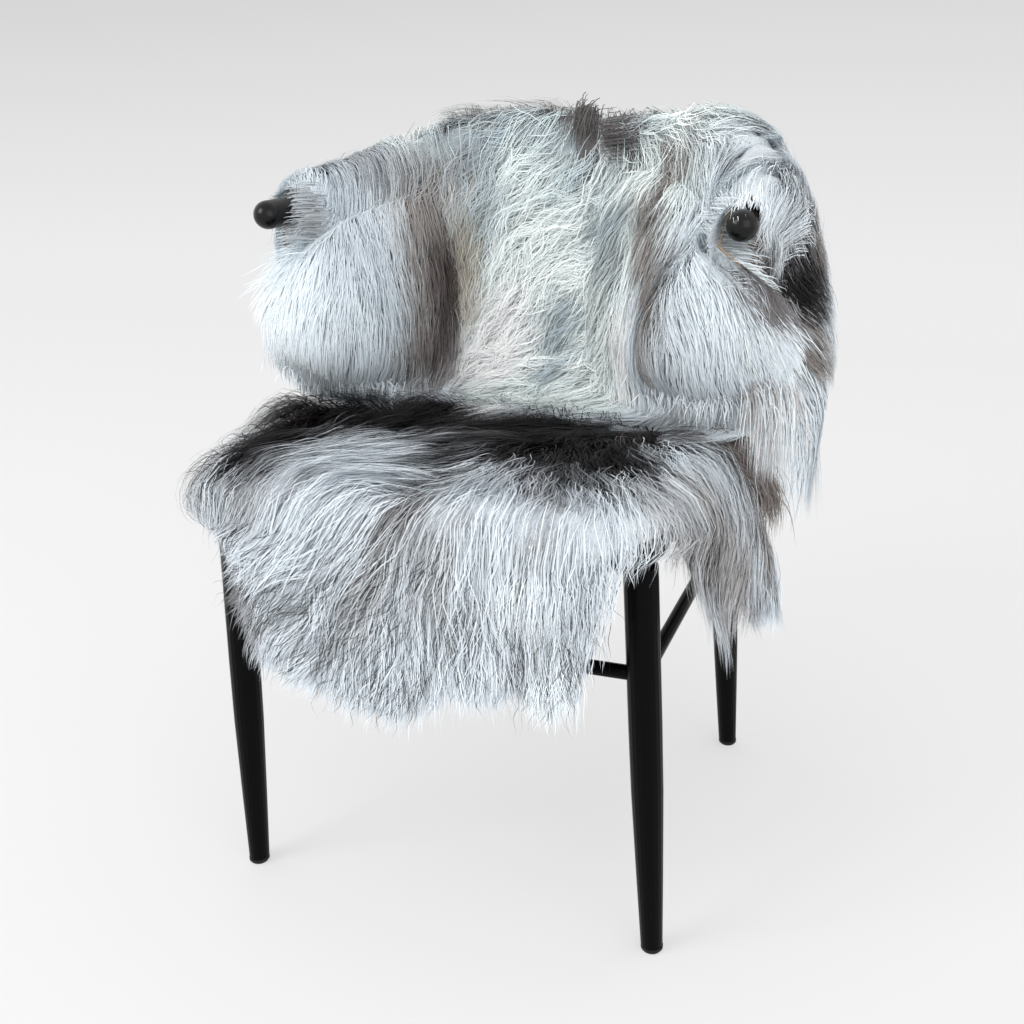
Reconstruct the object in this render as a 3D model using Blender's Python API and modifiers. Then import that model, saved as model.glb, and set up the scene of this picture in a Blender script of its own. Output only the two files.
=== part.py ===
"""Sheepskin draped over a low-backed spindle armchair.

The skin is one sheet. A disc of it lies on the seat. A front band runs on from the disc over the seat's edges
and hangs as a long apron in front and as a flap at the right-hand side. A back band climbs the spindles,
crosses the bow of the back and hangs down behind it, with a bulging lobe round each arm. The wool is a
lumpy thickness on the outer side of that sheet, drawn out into pointed locks at its rim.

Frame: metres, +Z up. The chair faces -Y and the origin is on the floor, under the middle of the whole. The
sizes below are counted from the chair's own middle, between its feet, and an empty there carries every piece.
"""

import math
from collections import namedtuple

import bmesh
import bpy
import numpy as np
from mathutils import Matrix, Vector

GAP = 0.0003  # between pieces that touch
CHAIR_MIDDLE = Vector((-0.0140, -0.0290, 0.0))  # the chair stands this far off the middle of the whole

# Seat
SEAT_TOP = 0.450
SEAT_THICKNESS = 0.028
SEAT_HALF_WIDTH = 0.232
SEAT_FRONT = -0.245
SEAT_REAR = 0.205
SEAT_CORNER = 0.055
SEAT_EDGE_ROUND = 0.008
CORNER_STEPS = 6

# Legs, with their lean in metres per metre of height
GLIDE_HEIGHT = 0.006
LEG_STEPS = 20
FRONT_FOOT = Vector((0.2315, -0.2105, 0.0))
FRONT_LEAN = Vector((-0.041, 0.0, 1.0))
BACK_FOOT = Vector((0.2245, 0.2105, 0.0))
BACK_LEAN = Vector((-0.030, -0.120, 1.0))
Turning = namedtuple("Turning", "height radius")
LEG_TURNING = (
    Turning(SEAT_TOP - SEAT_THICKNESS - GAP, 0.0163),
    Turning(0.260, 0.0163),
    Turning(0.185, 0.0158),
    Turning(0.086, 0.0134),
    Turning(GLIDE_HEIGHT + GAP, 0.0112),
)
GLIDE_TURNING = (
    Turning(GLIDE_HEIGHT, 0.0114),
    Turning(0.0025, 0.0114),
    Turning(0.0000, 0.0095),
)

# Stretchers
STRETCHER_HEIGHT = 0.311
STRETCHER_RADIUS = 0.00725
STRETCHER_STEPS = 14

# Bow of the back: two straight arms and a half ellipse that rises behind
BOW_RADIUS = 0.0153
BOW_HALF_WIDTH = 0.2587
BOW_DEPTH = 0.240
ARM_TIP = -0.040
ARM_END = 0.040
ARM_HEIGHT = 0.700
BOW_RISE = 0.050
RISE_FROM = 10.0
RISE_TO = 70.0
BOW_POINTS = 34
DOME_POINTS = 4

# Spindles between the seat and the bow
SPINDLE_COUNT = 11
SPINDLE_RADIUS = 0.006
SPINDLE_STEPS = 10
SPINDLE_FIRST = 24.0  # degrees along the ellipse from the end of the arm
FEET_HALF_WIDTH = 0.207
FEET_REAR = 0.180
FEET_POWER = 3.0

# Skin: places that the sheet's leather side keeps
LEATHER_CLEAR = 0.0036
SEAT_CENTRE = Vector((0.0, -0.020))
DISC_SHARE = 0.52
DISC_POWER = 4.0
DISC_RINGS = 3
TEAR_RIGHT = 30.0  # degrees about the seat's centre, where the front band and the back band part
TEAR_LEFT = 150.0
BACK_LINES = 44
LINES_CLOSER = 0.62  # how much closer the back band's lines stand near the tears
FRONT_LINES = 84
CLIMB_STEPS = 10
OVER_STEPS = 6
BEHIND_STEPS = 6
SEAT_STEPS = 2
FOLD_STEPS = 3
FALL_STEPS = 5
FOLD_RADIUS = SEAT_EDGE_ROUND + 0.004
FLARE = 0.08  # the hanging parts stand out this much per metre that they fall
FLARE_RIGHT = 0.26  # and the flap this much more
WAVE_HEIGHT = 0.012
WAVE_PITCH = 0.095
CORNER_REACH = 0.070
CORNER_CLIMB = 0.080
SWELL_FROM = 0.06  # the lobes swell between these shares of the way up to the bow
SWELL_TO = 0.9
BAND_START = 0.010  # along the bow from the end of the straight arm

# Wool
PILE = 0.050
RIM_PILE = 0.011
CORNER_THINNER = 0.25  # the wool is pressed this much where the back rises off the seat
SEAT_PILE = 0.041
LOCK_REACH = 0.012
TEAR_PILE = (0.25, 0.45, 0.75)  # shares of the wool's depth on the lines nearest a tear
LUMP = 0.10

# Lumps of the wool: products of two waves across the object, in radians per metre
Lumps = namedtuple("Lumps", "share first second")
LUMPS = (
    Lumps(1.0, (61.0, 23.0, 9.0), (-29.0, 37.0, 47.0)),
    Lumps(0.6, (97.0, 0.0, -53.0), (0.0, 83.0, 31.0)),
)

# Tips of the wool round the seat, from the tear at the left to the tear at the right, and the place on the
# seat's edge where the line of wool to each tip leaves it
Hem = namedtuple("Hem", "side along height root")
HEMS = (
    Hem("left", 0.042, 0.425, 0.040),
    Hem("left", -0.060, 0.425, -0.060),
    Hem("left", -0.185, 0.425, -0.180),
    Hem("front", -0.210, 0.418, -0.200),
    Hem("front", -0.202, 0.370, -0.186),
    Hem("front", -0.190, 0.318, -0.170),
    Hem("front", -0.158, 0.284, -0.140),
    Hem("front", -0.108, 0.269, -0.095),
    Hem("front", -0.070, 0.252, -0.062),
    Hem("front", -0.010, 0.254, -0.012),
    Hem("front", 0.034, 0.266, 0.026),
    Hem("front", 0.055, 0.282, 0.046),
    Hem("front", 0.115, 0.290, 0.096),
    Hem("front", 0.145, 0.275, 0.124),
    Hem("front", 0.174, 0.300, 0.150),
    Hem("front", 0.194, 0.360, 0.174),
    Hem("front", 0.210, 0.418, 0.200),
    Hem("right", -0.188, 0.418, -0.184),
    Hem("right", -0.172, 0.370, -0.166),
    Hem("right", -0.148, 0.330, -0.144),
    Hem("right", -0.070, 0.296, -0.098),
    Hem("right", 0.010, 0.272, -0.058),
    Hem("right", 0.060, 0.264, -0.020),
    Hem("right", 0.098, 0.290, 0.002),
    Hem("right", 0.104, 0.335, 0.016),
    Hem("right", 0.094, 0.385, 0.030),
    Hem("right", 0.076, 0.425, 0.042),
)

# Back band at angles about the seat's centre: how far the inner side and the outer side bulge, how far the
# outer side hangs below the bow, how high the skin is bunched above the bow, and how thick the wool is
Wall = namedtuple("Wall", "angle inner outer hang bunch pile")
WALLS = (
    Wall(30.0, -0.100, 0.006, 0.235, 0.002, 0.026),
    Wall(31.5, -0.068, 0.024, 0.265, 0.006, 0.028),
    Wall(34.0, -0.010, 0.038, 0.285, 0.010, 0.030),
    Wall(38.0, 0.030, 0.044, 0.298, 0.016, 0.030),
    Wall(46.0, 0.052, 0.046, 0.290, 0.028, 0.030),
    Wall(57.0, 0.052, 0.042, 0.245, 0.026, 0.032),
    Wall(67.0, 0.030, 0.030, 0.195, 0.010, 0.040),
    Wall(76.0, 0.000, 0.018, 0.160, 0.002, 0.044),
    Wall(90.0, 0.006, 0.012, 0.140, 0.003, 0.045),
    Wall(108.0, 0.000, 0.014, 0.155, 0.004, 0.044),
    Wall(120.0, 0.004, 0.018, 0.165, 0.002, 0.036),
    Wall(131.0, 0.034, 0.020, 0.175, 0.000, 0.030),
    Wall(142.0, 0.030, 0.020, 0.180, 0.000, 0.028),
    Wall(146.5, 0.000, 0.012, 0.172, 0.000, 0.028),
    Wall(150.0, -0.045, 0.002, 0.160, 0.000, 0.026),
)

# Free front edges of the two lobes: how far they stand forward along the arm. The place runs from 0 at the
# seat to 1 at the bow's inner side, 2 at its outer side and 3 at the hem behind.
Edge = namedtuple("Edge", "place left right")
EDGES = (
    Edge(0.20, 0.000, 0.000),
    Edge(0.28, 0.050, 0.026),
    Edge(0.36, 0.078, 0.056),
    Edge(0.48, 0.088, 0.074),
    Edge(0.60, 0.082, 0.082),
    Edge(0.78, 0.060, 0.076),
    Edge(0.92, 0.026, 0.058),
    Edge(1.00, 0.013, 0.050),
    Edge(2.00, 0.010, 0.040),
    Edge(2.30, 0.004, 0.014),
    Edge(3.00, -0.010, 0.004),
)
EDGE_FADE = 0.24  # share of the back band over which that forward stand dies away


def column(rows, name):
    """One named column of a table as an array."""
    return np.array([getattr(row, name) for row in rows], float)


def follow(rows, key, name, at):
    """A smooth curve through a table's named column, read where the key column has the given values."""
    x = column(rows, key)
    y = column(rows, name)
    slope = np.gradient(y, x)
    at = np.clip(at, x[0], x[-1])
    i = np.clip(np.searchsorted(x, at) - 1, 0, len(x) - 2)
    span = x[i + 1] - x[i]
    s = (at - x[i]) / span
    rise = s * s * (3.0 - 2.0 * s)
    start = s * (1.0 - s) ** 2
    stop = s * s * (s - 1.0)
    return y[i] + (y[i + 1] - y[i]) * rise + span * (slope[i] * start + slope[i + 1] * stop)


def ease(value):
    """Smooth step from 0 to 1."""
    s = np.clip(value, 0.0, 1.0)
    return s * s * (3.0 - 2.0 * s)


def collection(name):
    """A new collection in the scene."""
    made = bpy.data.collections.new(name)
    bpy.context.scene.collection.children.link(made)
    return made


def finish(name, colour, roughness, metallic=0.0):
    """A Principled material."""
    made = bpy.data.materials.new(name)
    made.use_nodes = True
    shader = made.node_tree.nodes["Principled BSDF"]
    shader.inputs["Base Color"].default_value = (*colour, 1.0)
    shader.inputs["Roughness"].default_value = roughness
    shader.inputs["Metallic"].default_value = metallic
    return made


def middle_of_chair(group):
    """The empty that carries every piece."""
    made = bpy.data.objects.new("chair_middle", None)
    made.location = CHAIR_MIDDLE
    group.objects.link(made)
    return made


def place(name, mesh, material, group):
    """An object of a mesh, with its material, in a collection and on the chair's middle."""
    mesh.materials.clear()
    mesh.materials.append(material)
    made = bpy.data.objects.new(name, mesh)
    made.parent = bpy.data.objects["chair_middle"]
    group.objects.link(made)
    return made


def settled(source):
    """A mesh of an object as its modifiers leave it, with the caps of a curve welded. The object goes."""
    bpy.context.view_layer.update()
    graph = bpy.context.evaluated_depsgraph_get()
    mesh = bpy.data.meshes.new_from_object(source.evaluated_get(graph), depsgraph=graph)
    bpy.data.objects.remove(source)
    work = bmesh.new()
    work.from_mesh(mesh)
    bmesh.ops.remove_doubles(work, verts=work.verts, dist=0.00001)
    bmesh.ops.recalc_face_normals(work, faces=work.faces)
    work.to_mesh(mesh)
    work.free()
    return mesh


def turned(turning, steps, group):
    """A mesh turned about Z from rows of height and radius, top to bottom."""
    points = [(0.0, 0.0, turning[0].height)]
    points += [(row.radius, 0.0, row.height) for row in turning]
    points += [(0.0, 0.0, turning[-1].height)]
    profile = bpy.data.meshes.new("profile")
    profile.from_pydata(points, [(i, i + 1) for i in range(len(points) - 1)], [])
    source = bpy.data.objects.new("profile", profile)
    group.objects.link(source)
    screw = source.modifiers.new("turn", "SCREW")
    screw.steps = steps
    screw.render_steps = steps
    screw.use_merge_vertices = True
    screw.merge_threshold = 0.00001
    return settled(source)


def leaning(mesh, foot, lean):
    """Slides each level of a turned mesh along a leaning axis, so that both ends stay level."""
    shear = Matrix.Identity(4)
    shear[0][2] = lean.x
    shear[1][2] = lean.y
    mesh.transform(Matrix.Translation(foot) @ shear)
    return mesh


def round_mesh(mesh):
    """Smooth shading with crisp rims."""
    mesh.shade_smooth()
    mesh.set_sharp_from_angle(angle=math.radians(40.0))
    return mesh


def rod(start, stop, radius, steps):
    """A plain rod's mesh between two points."""
    work = bmesh.new()
    axis = stop - start
    turn = axis.to_track_quat("Z", "Y").to_matrix().to_4x4()
    middle = Matrix.Translation((start + stop) / 2.0)
    bmesh.ops.create_cone(work, cap_ends=True, segments=steps, radius1=radius, radius2=radius,
                          depth=axis.length, matrix=middle @ turn)
    mesh = bpy.data.meshes.new("rod")
    work.to_mesh(mesh)
    work.free()
    return mesh


def cut(target, cutters):
    """Takes each cutter's volume off an object."""
    for cutter in cutters:
        boolean = target.modifiers.new("cut", "BOOLEAN")
        boolean.operation = "DIFFERENCE"
        boolean.object = cutter


def as_cutter(name, mesh, group):
    """A hidden object that only cuts others."""
    made = bpy.data.objects.new(name, mesh)
    made.parent = bpy.data.objects["chair_middle"]
    made.hide_render = True
    made.display_type = "WIRE"
    group.objects.link(made)
    return made


def corner_places():
    """The four legs: name, foot and lean."""
    for row, foot, lean in (("front", FRONT_FOOT, FRONT_LEAN), ("back", BACK_FOOT, BACK_LEAN)):
        for side, sign in (("left", -1.0), ("right", 1.0)):
            yield f"{row}_{side}", Vector((foot.x * sign, foot.y, 0.0)), Vector((lean.x * sign, lean.y, 1.0))


def make_seat(black, parts):
    """A flat wooden seat with round corners and softened edges."""
    inner_x = SEAT_HALF_WIDTH - SEAT_CORNER
    corners = (
        (inner_x, SEAT_FRONT + SEAT_CORNER, -90.0),
        (inner_x, SEAT_REAR - SEAT_CORNER, 0.0),
        (-inner_x, SEAT_REAR - SEAT_CORNER, 90.0),
        (-inner_x, SEAT_FRONT + SEAT_CORNER, 180.0),
    )
    work = bmesh.new()
    outline = []
    for x, y, first in corners:
        for step in range(CORNER_STEPS + 1):
            angle = math.radians(first + 90.0 * step / CORNER_STEPS)
            outline.append(work.verts.new((x + SEAT_CORNER * math.cos(angle),
                                           y + SEAT_CORNER * math.sin(angle), SEAT_TOP)))
    top = work.faces.new(outline)
    lower = bmesh.ops.extrude_face_region(work, geom=[top])["geom"]
    down = [item for item in lower if isinstance(item, bmesh.types.BMVert)]
    bmesh.ops.translate(work, verts=down, vec=(0.0, 0.0, -SEAT_THICKNESS))
    bmesh.ops.recalc_face_normals(work, faces=work.faces)
    mesh = bpy.data.meshes.new("seat")
    work.to_mesh(mesh)
    work.free()
    seat = place("seat", mesh, black, parts)
    edge = seat.modifiers.new("edge", "BEVEL")
    edge.width = SEAT_EDGE_ROUND
    edge.segments = 2
    edge.limit_method = "ANGLE"
    edge.angle_limit = math.radians(60.0)


def make_legs(black, rubber, parts):
    """Four tapered legs that splay a little, each on a small glide."""
    for name, foot, lean in corner_places():
        leg = leaning(turned(LEG_TURNING, LEG_STEPS, parts), foot, lean)
        place(f"leg_{name}", round_mesh(leg), black, parts)
        glide = turned(GLIDE_TURNING, LEG_STEPS, parts)
        glide.transform(Matrix.Translation(foot))
        place(f"glide_{name}", round_mesh(glide), rubber, parts)


def make_stretchers(black, parts, cutters):
    """Four round rails between the legs, hollowed at their ends to fit round them."""
    axes = {}
    grown = {}
    for name, foot, lean in corner_places():
        axes[name] = foot + lean * STRETCHER_HEIGHT
        wide = [Turning(row.height, row.radius + GAP) for row in LEG_TURNING]
        grown[name] = as_cutter(f"cut_{name}", leaning(turned(wide, LEG_STEPS, cutters), foot, lean), cutters)
    runs = (
        ("front", "front_left", "front_right"),
        ("back", "back_left", "back_right"),
        ("left", "front_left", "back_left"),
        ("right", "front_right", "back_right"),
    )
    for side, start, stop in runs:
        mesh = rod(axes[start], axes[stop], STRETCHER_RADIUS, STRETCHER_STEPS)
        rail = place(f"stretcher_{side}", round_mesh(mesh), black, parts)
        cut(rail, (grown[start], grown[stop]))


def bow_point(turn):
    """The bow's axis over an array of angles along the ellipse, from 0 at the right arm to 180 at the left."""
    angle = np.radians(turn)
    from_side = 90.0 - np.abs(np.asarray(turn, float) - 90.0)
    rise = BOW_RISE * ease((from_side - RISE_FROM) / (RISE_TO - RISE_FROM))
    return np.stack([BOW_HALF_WIDTH * np.cos(angle), ARM_END + BOW_DEPTH * np.sin(angle),
                     ARM_HEIGHT + rise], axis=-1)


def along_bow(distance):
    """The bow's axis by distance from the end of the right arm. Past either end it runs on along the arm."""
    turns = np.linspace(0.0, 180.0, 361)
    arc = bow_point(turns)
    steps = np.linalg.norm(np.diff(arc, axis=0), axis=1)
    length = np.concatenate([[0.0], np.cumsum(steps)])
    points = bow_point(np.interp(distance, length, turns))
    points[..., 1] += np.minimum(distance, 0.0) - np.maximum(distance - length[-1], 0.0)
    return points, length[-1]


def bow_path():
    """Points and radii of the bow from tip to tip. Each tip closes in a dome."""
    arc = bow_point(np.linspace(0.0, 180.0, BOW_POINTS))
    quarter = np.linspace(0.0, 82.0, DOME_POINTS)
    dome_y = ARM_TIP + BOW_RADIUS * (1.0 - np.sin(np.radians(quarter)))
    dome_radius = np.cos(np.radians(quarter))
    half = len(quarter)
    tip = np.stack([np.full(half, BOW_HALF_WIDTH), dome_y, np.full(half, ARM_HEIGHT)], axis=1)
    points = np.concatenate([tip[::-1], arc, tip * (-1.0, 1.0, 1.0)])
    radii = np.concatenate([dome_radius[::-1], np.ones(len(arc)), dome_radius])
    return points, radii


def bow_mesh(radius, group):
    """The bow as a tube of a given radius."""
    points, radii = bow_path()
    curve = bpy.data.curves.new("bow", "CURVE")
    curve.dimensions = "3D"
    curve.bevel_depth = radius
    curve.bevel_resolution = 4
    curve.use_fill_caps = True
    spline = curve.splines.new("POLY")
    spline.points.add(len(points) - 1)
    for point, centre, scale in zip(spline.points, points, radii):
        point.co = (*centre, 1.0)
        point.radius = scale
    source = bpy.data.objects.new("bow", curve)
    group.objects.link(source)
    return settled(source)


def feet_point(turn):
    """Where a spindle stands on the seat, for an angle along the ellipse."""
    angle = math.radians(turn)
    centre_y = SEAT_CENTRE.y
    depth = FEET_REAR - centre_y
    across = math.copysign(abs(math.cos(angle)) ** (2.0 / FEET_POWER), math.cos(angle))
    back = math.sin(angle) ** (2.0 / FEET_POWER)
    return Vector((FEET_HALF_WIDTH * across, centre_y + depth * back, SEAT_TOP + GAP))


def make_bow(black, parts, cutters):
    """The bent bow with its arms, and the spindles that carry it."""
    place("arm_bow", round_mesh(bow_mesh(BOW_RADIUS, parts)), black, parts)
    grown = as_cutter("cut_bow", bow_mesh(BOW_RADIUS + GAP, cutters), cutters)
    for number, turn in enumerate(np.linspace(SPINDLE_FIRST, 180.0 - SPINDLE_FIRST, SPINDLE_COUNT), 1):
        foot = feet_point(turn)
        top = Vector(bow_point(turn))
        lean = (top - foot) / (top.z - foot.z)
        turning = (Turning(top.z - foot.z, SPINDLE_RADIUS), Turning(0.0, SPINDLE_RADIUS))
        mesh = leaning(turned(turning, SPINDLE_STEPS, parts), foot, lean)
        spindle = place(f"spindle_{number:02d}", round_mesh(mesh), black, parts)
        cut(spindle, (grown,))


def fold_outline():
    """Half sizes, corner radius and centre of the outline on the seat where the skin starts to fold down."""
    lip = FOLD_RADIUS - LEATHER_CLEAR - GAP
    half = np.array([SEAT_HALF_WIDTH - lip, (SEAT_REAR - SEAT_FRONT) / 2.0 - lip])
    return half, SEAT_CORNER - lip, np.array([0.0, (SEAT_REAR + SEAT_FRONT) / 2.0])


def beside(side, along, past):
    """A flat point beyond one side of the fold's outline, at a place along that side."""
    half, _, centre = fold_outline()
    if side == "front":
        return (along, centre[1] - half[1] - past)
    sign = 1.0 if side == "right" else -1.0
    return (sign * (half[0] + past), along)


def past_fold(flat):
    """Nearest points of the fold's outline to flat points, the way out of it and how far past it they are."""
    half, corner, centre = fold_outline()
    core = np.clip(flat - centre, corner - half, half - corner)
    away = flat - centre - core
    reach = np.linalg.norm(away, axis=-1)
    out = away / np.maximum(reach, 1e-9)[..., None]
    return centre + core + out * corner, out, reach - corner


def flat_hem(count):
    """The front band's rim on the skin laid flat, as evenly spaced points, each point's root, and the way out."""
    roll = FOLD_RADIUS * math.pi / 2.0 + SEAT_TOP + LEATHER_CLEAR - FOLD_RADIUS
    tips = np.array([beside(row.side, row.along, roll - row.height) for row in HEMS])
    roots = np.array([beside(row.side, row.root, 0.0) for row in HEMS])
    steps = np.linalg.norm(np.diff(tips, axis=0), axis=1)
    length = np.concatenate([[0.0], np.cumsum(steps)])
    at = np.linspace(0.0, length[-1], count + 1)
    even = [np.interp(at, length, line) for line in (*tips.T, *roots.T)]
    roots, out, _ = past_fold(np.stack(even[2:], axis=1))
    return np.stack(even[:2], axis=1), roots, out


def draped(flat):
    """Lays flat points of the skin on the seat, and folds those past its edge down along its outline."""
    edge_point, out, past = past_fold(flat)
    past = np.maximum(past, 0.0)
    arc = np.minimum(past / FOLD_RADIUS, math.pi / 2.0)
    fall = np.maximum(past - FOLD_RADIUS * math.pi / 2.0, 0.0)
    ground = np.where(past[..., None] > 0.0, edge_point, flat)
    edge = ground[..., 0] - ground[..., 1]
    wave = WAVE_HEIGHT * (0.5 + 0.5 * np.sin(2.0 * math.pi * edge / WAVE_PITCH)) * ease(fall / 0.18)
    flare = (FLARE + FLARE_RIGHT * np.maximum(out[..., 0], 0.0)) * fall
    ground = ground + out * (FOLD_RADIUS * np.sin(arc) + flare + wave)[..., None]
    height = SEAT_TOP + LEATHER_CLEAR - FOLD_RADIUS * (1.0 - np.cos(arc)) - fall
    return np.concatenate([ground, height[..., None]], axis=-1)


def disc_rim(angle):
    """The disc's edge at angles about the seat's centre: a share of the way to the seat's own edge."""
    turn = np.radians(angle)
    depth = np.where(np.sin(turn) > 0.0, SEAT_REAR - SEAT_CENTRE.y, SEAT_CENTRE.y - SEAT_FRONT)
    across = np.abs(np.cos(turn) / SEAT_HALF_WIDTH) ** DISC_POWER
    along = np.abs(np.sin(turn) / depth) ** DISC_POWER
    radius = DISC_SHARE * (across + along) ** (-1.0 / DISC_POWER)
    return np.stack([SEAT_CENTRE.x + radius * np.cos(turn), SEAT_CENTRE.y + radius * np.sin(turn)], axis=-1)


def tear_share(lines):
    """The share of its depth that the wool has on each line of a band: less beside the tears."""
    share = np.ones(lines + 1)
    share[:len(TEAR_PILE)] = TEAR_PILE
    share[-len(TEAR_PILE):] = TEAR_PILE[::-1]
    return share


def front_band():
    """Rows of points from the disc's edge to the tips of the apron, flap and left edge."""
    start = disc_rim(np.linspace(TEAR_LEFT, 360.0 + TEAR_RIGHT, FRONT_LINES + 1))
    tips, roots, way_out = flat_hem(FRONT_LINES)
    out = tips - roots
    length = np.linalg.norm(out, axis=1)[:, None]
    locks = np.where(np.arange(FRONT_LINES + 1) % 2 == 0, LOCK_REACH, -LOCK_REACH)[:, None]
    locks = locks * np.clip(length / 0.1, 0.4, 1.0)
    out = out / length
    square = np.clip((out * way_out).sum(axis=1), 0.3, 1.0)[:, None]
    roll = np.minimum(FOLD_RADIUS * math.pi / 2.0 / square, 0.7 * length)
    rows = [start + (roots - start) * step / SEAT_STEPS for step in range(1, SEAT_STEPS + 1)]
    rows += [roots + out * roll * step / FOLD_STEPS for step in range(1, FOLD_STEPS + 1)]
    fall = length + locks - roll
    rows += [roots + out * (roll + fall * step / FALL_STEPS) for step in range(1, FALL_STEPS + 1)]
    share = np.arange(1, FALL_STEPS + 1) / FALL_STEPS
    pile = np.full(SEAT_STEPS + FOLD_STEPS, SEAT_PILE)
    pile = np.concatenate([pile, SEAT_PILE + (RIM_PILE - SEAT_PILE) * ease((share - 0.2) / 0.8)])
    return draped(np.array(rows)), pile[:, None] * tear_share(FRONT_LINES)


def back_angles():
    """Angles of the back band's lines about the seat's centre, closer together near the tears."""
    share = np.linspace(0.0, 1.0, BACK_LINES + 1)
    share = share - LINES_CLOSER / (2.0 * math.pi) * np.sin(2.0 * math.pi * share)
    return TEAR_RIGHT + (TEAR_LEFT - TEAR_RIGHT) * share


def climb(step, tilt, length):
    """One row of the inner side: a soft corner off the seat, then the straight line up to the bow."""
    bend = CORNER_CLIMB / length
    gone = step / CLIMB_STEPS * (1.0 + bend)
    turn = np.clip(gone / (2.0 * bend), 0.0, 1.0)
    line = (gone - bend) * length
    corner_out = 2.0 * turn * (1.0 - turn) * CORNER_REACH
    corner_out = corner_out + turn ** 2 * (CORNER_REACH + CORNER_CLIMB * np.cos(tilt))
    corner_up = turn ** 2 * CORNER_CLIMB * np.sin(tilt)
    straight = gone >= 2.0 * bend
    out = np.where(straight, CORNER_REACH + line * np.cos(tilt), corner_out)
    return out, np.where(straight, line * np.sin(tilt), corner_up)


def back_sections(angles, depth, rise):
    """In each upright plane of the back band: outward distance, height above the seat and place, by row."""
    radius = BOW_RADIUS + LEATHER_CLEAR
    run = depth - CORNER_REACH
    slant = np.hypot(run, rise)
    tilt = np.arctan2(rise, run) + np.arcsin(radius / slant)
    length = np.sqrt(slant ** 2 - radius ** 2)
    inner = follow(WALLS, "angle", "inner", angles)
    outer = follow(WALLS, "angle", "outer", angles)
    bunch = follow(WALLS, "angle", "bunch", angles)
    hang = follow(WALLS, "angle", "hang", angles)
    locks = np.where(np.arange(len(angles)) % 2 == 0, LOCK_REACH, -LOCK_REACH)
    rows = []
    for step in range(1, CLIMB_STEPS + 1):
        out, up = climb(step, tilt, length)
        level = np.clip(up / rise, 0.0, 1.0)
        part_up = np.clip((level - SWELL_FROM) / (SWELL_TO - SWELL_FROM), 0.0, 1.0)
        swell = np.sin(math.pi * part_up) ** 0.8
        rows.append((out - inner * swell, up, level))
    for step in range(1, OVER_STEPS + 1):
        share = step / OVER_STEPS
        turn = (tilt + math.pi / 2.0) * (1.0 - share)
        lift = bunch * np.sin(turn) ** 2
        stand = outer * 0.3 * share ** 2
        rows.append((depth + radius * np.cos(turn) + stand, rise + radius * np.sin(turn) + lift,
                     np.full_like(depth, 1.0 + share)))
    for step in range(1, BEHIND_STEPS + 1):
        share = step / BEHIND_STEPS
        stand = outer * (0.3 + 0.7 * math.sin(0.5 * math.pi * min(1.0, 1.6 * share)))
        drop = (hang + locks * (step == BEHIND_STEPS)) * share
        rows.append((depth + radius + stand, rise - drop, np.full_like(depth, 2.0 + share)))
    return [np.array(part) for part in zip(*rows)]


def back_band():
    """Rows of points from the disc's edge up the back, over the bow and down behind it."""
    angles = back_angles()
    share = (angles - TEAR_RIGHT) / (TEAR_LEFT - TEAR_RIGHT)
    start = disc_rim(angles)
    whole = along_bow(np.zeros(1))[1]
    distance = BAND_START + (whole - 2.0 * BAND_START) * share
    axis = along_bow(distance)[0]
    across = axis[:, :2] - start
    depth = np.linalg.norm(across, axis=1)
    base = SEAT_TOP + LEATHER_CLEAR
    reach, up, station = back_sections(angles, depth, axis[:, 2] - base)
    ground = start + across / depth[:, None] * reach[..., None]

    near_right = 1.0 - ease(share / EDGE_FADE)
    near_left = 1.0 - ease((1.0 - share) / EDGE_FADE)
    slide = near_left * follow(EDGES, "place", "left", station)
    slide = slide - near_right * follow(EDGES, "place", "right", station)
    moved = along_bow(distance + slide)[0] - axis
    ground = ground + moved[..., :2]
    height = base + up + moved[..., 2] * np.clip(station, 0.0, 1.0)
    points = np.concatenate([ground, height[..., None]], axis=-1)

    rows = len(height)
    pile = follow(WALLS, "angle", "pile", angles) * tear_share(BACK_LINES)
    row = np.arange(1, rows + 1)[:, None]
    pile = pile * (1.0 - CORNER_THINNER * (1.0 - ease((row - 3.0) / 3.0)))
    return points, pile + (RIM_PILE - pile) * ease((row - (rows - 3)) / 3.0)


def skin_points():
    """All points of the sheet with their wool thickness, and the grids that index them."""
    back, back_pile = back_band()
    front, front_pile = front_band()
    round_count = BACK_LINES + FRONT_LINES
    angles = np.concatenate([back_angles()[:-1],
                             np.linspace(TEAR_LEFT, 360.0 + TEAR_RIGHT, FRONT_LINES + 1)[:-1]])
    rim = disc_rim(angles)
    centre = np.array(SEAT_CENTRE)
    rings = [centre + (rim - centre) * ring / DISC_RINGS for ring in range(1, DISC_RINGS + 1)]
    disc = np.concatenate([centre[None, :]] + rings)
    disc = np.concatenate([disc, np.full((len(disc), 1), SEAT_TOP + LEATHER_CLEAR)], axis=1)
    points = np.concatenate([disc, back.reshape(-1, 3), front.reshape(-1, 3)])
    disc_pile = np.full(len(disc), SEAT_PILE)
    disc_pile[[-round_count, -round_count + BACK_LINES]] *= TEAR_PILE[0]
    pile = np.concatenate([disc_pile, back_pile.ravel(), front_pile.ravel()])

    ring_index = 1 + np.arange(DISC_RINGS * round_count).reshape(DISC_RINGS, round_count)
    back_index = len(disc) + np.arange(back_pile.size).reshape(back_pile.shape)
    front_index = len(disc) + back_pile.size + np.arange(front_pile.size).reshape(front_pile.shape)
    back_grid = np.vstack([ring_index[-1][:BACK_LINES + 1], back_index])
    front_start = np.append(ring_index[-1][BACK_LINES:], ring_index[-1][0])
    front_grid = np.vstack([front_start, front_index])
    disc_grid = np.hstack([ring_index, ring_index[:, :1]])
    return points, pile, disc_grid, back_grid, front_grid


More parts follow.
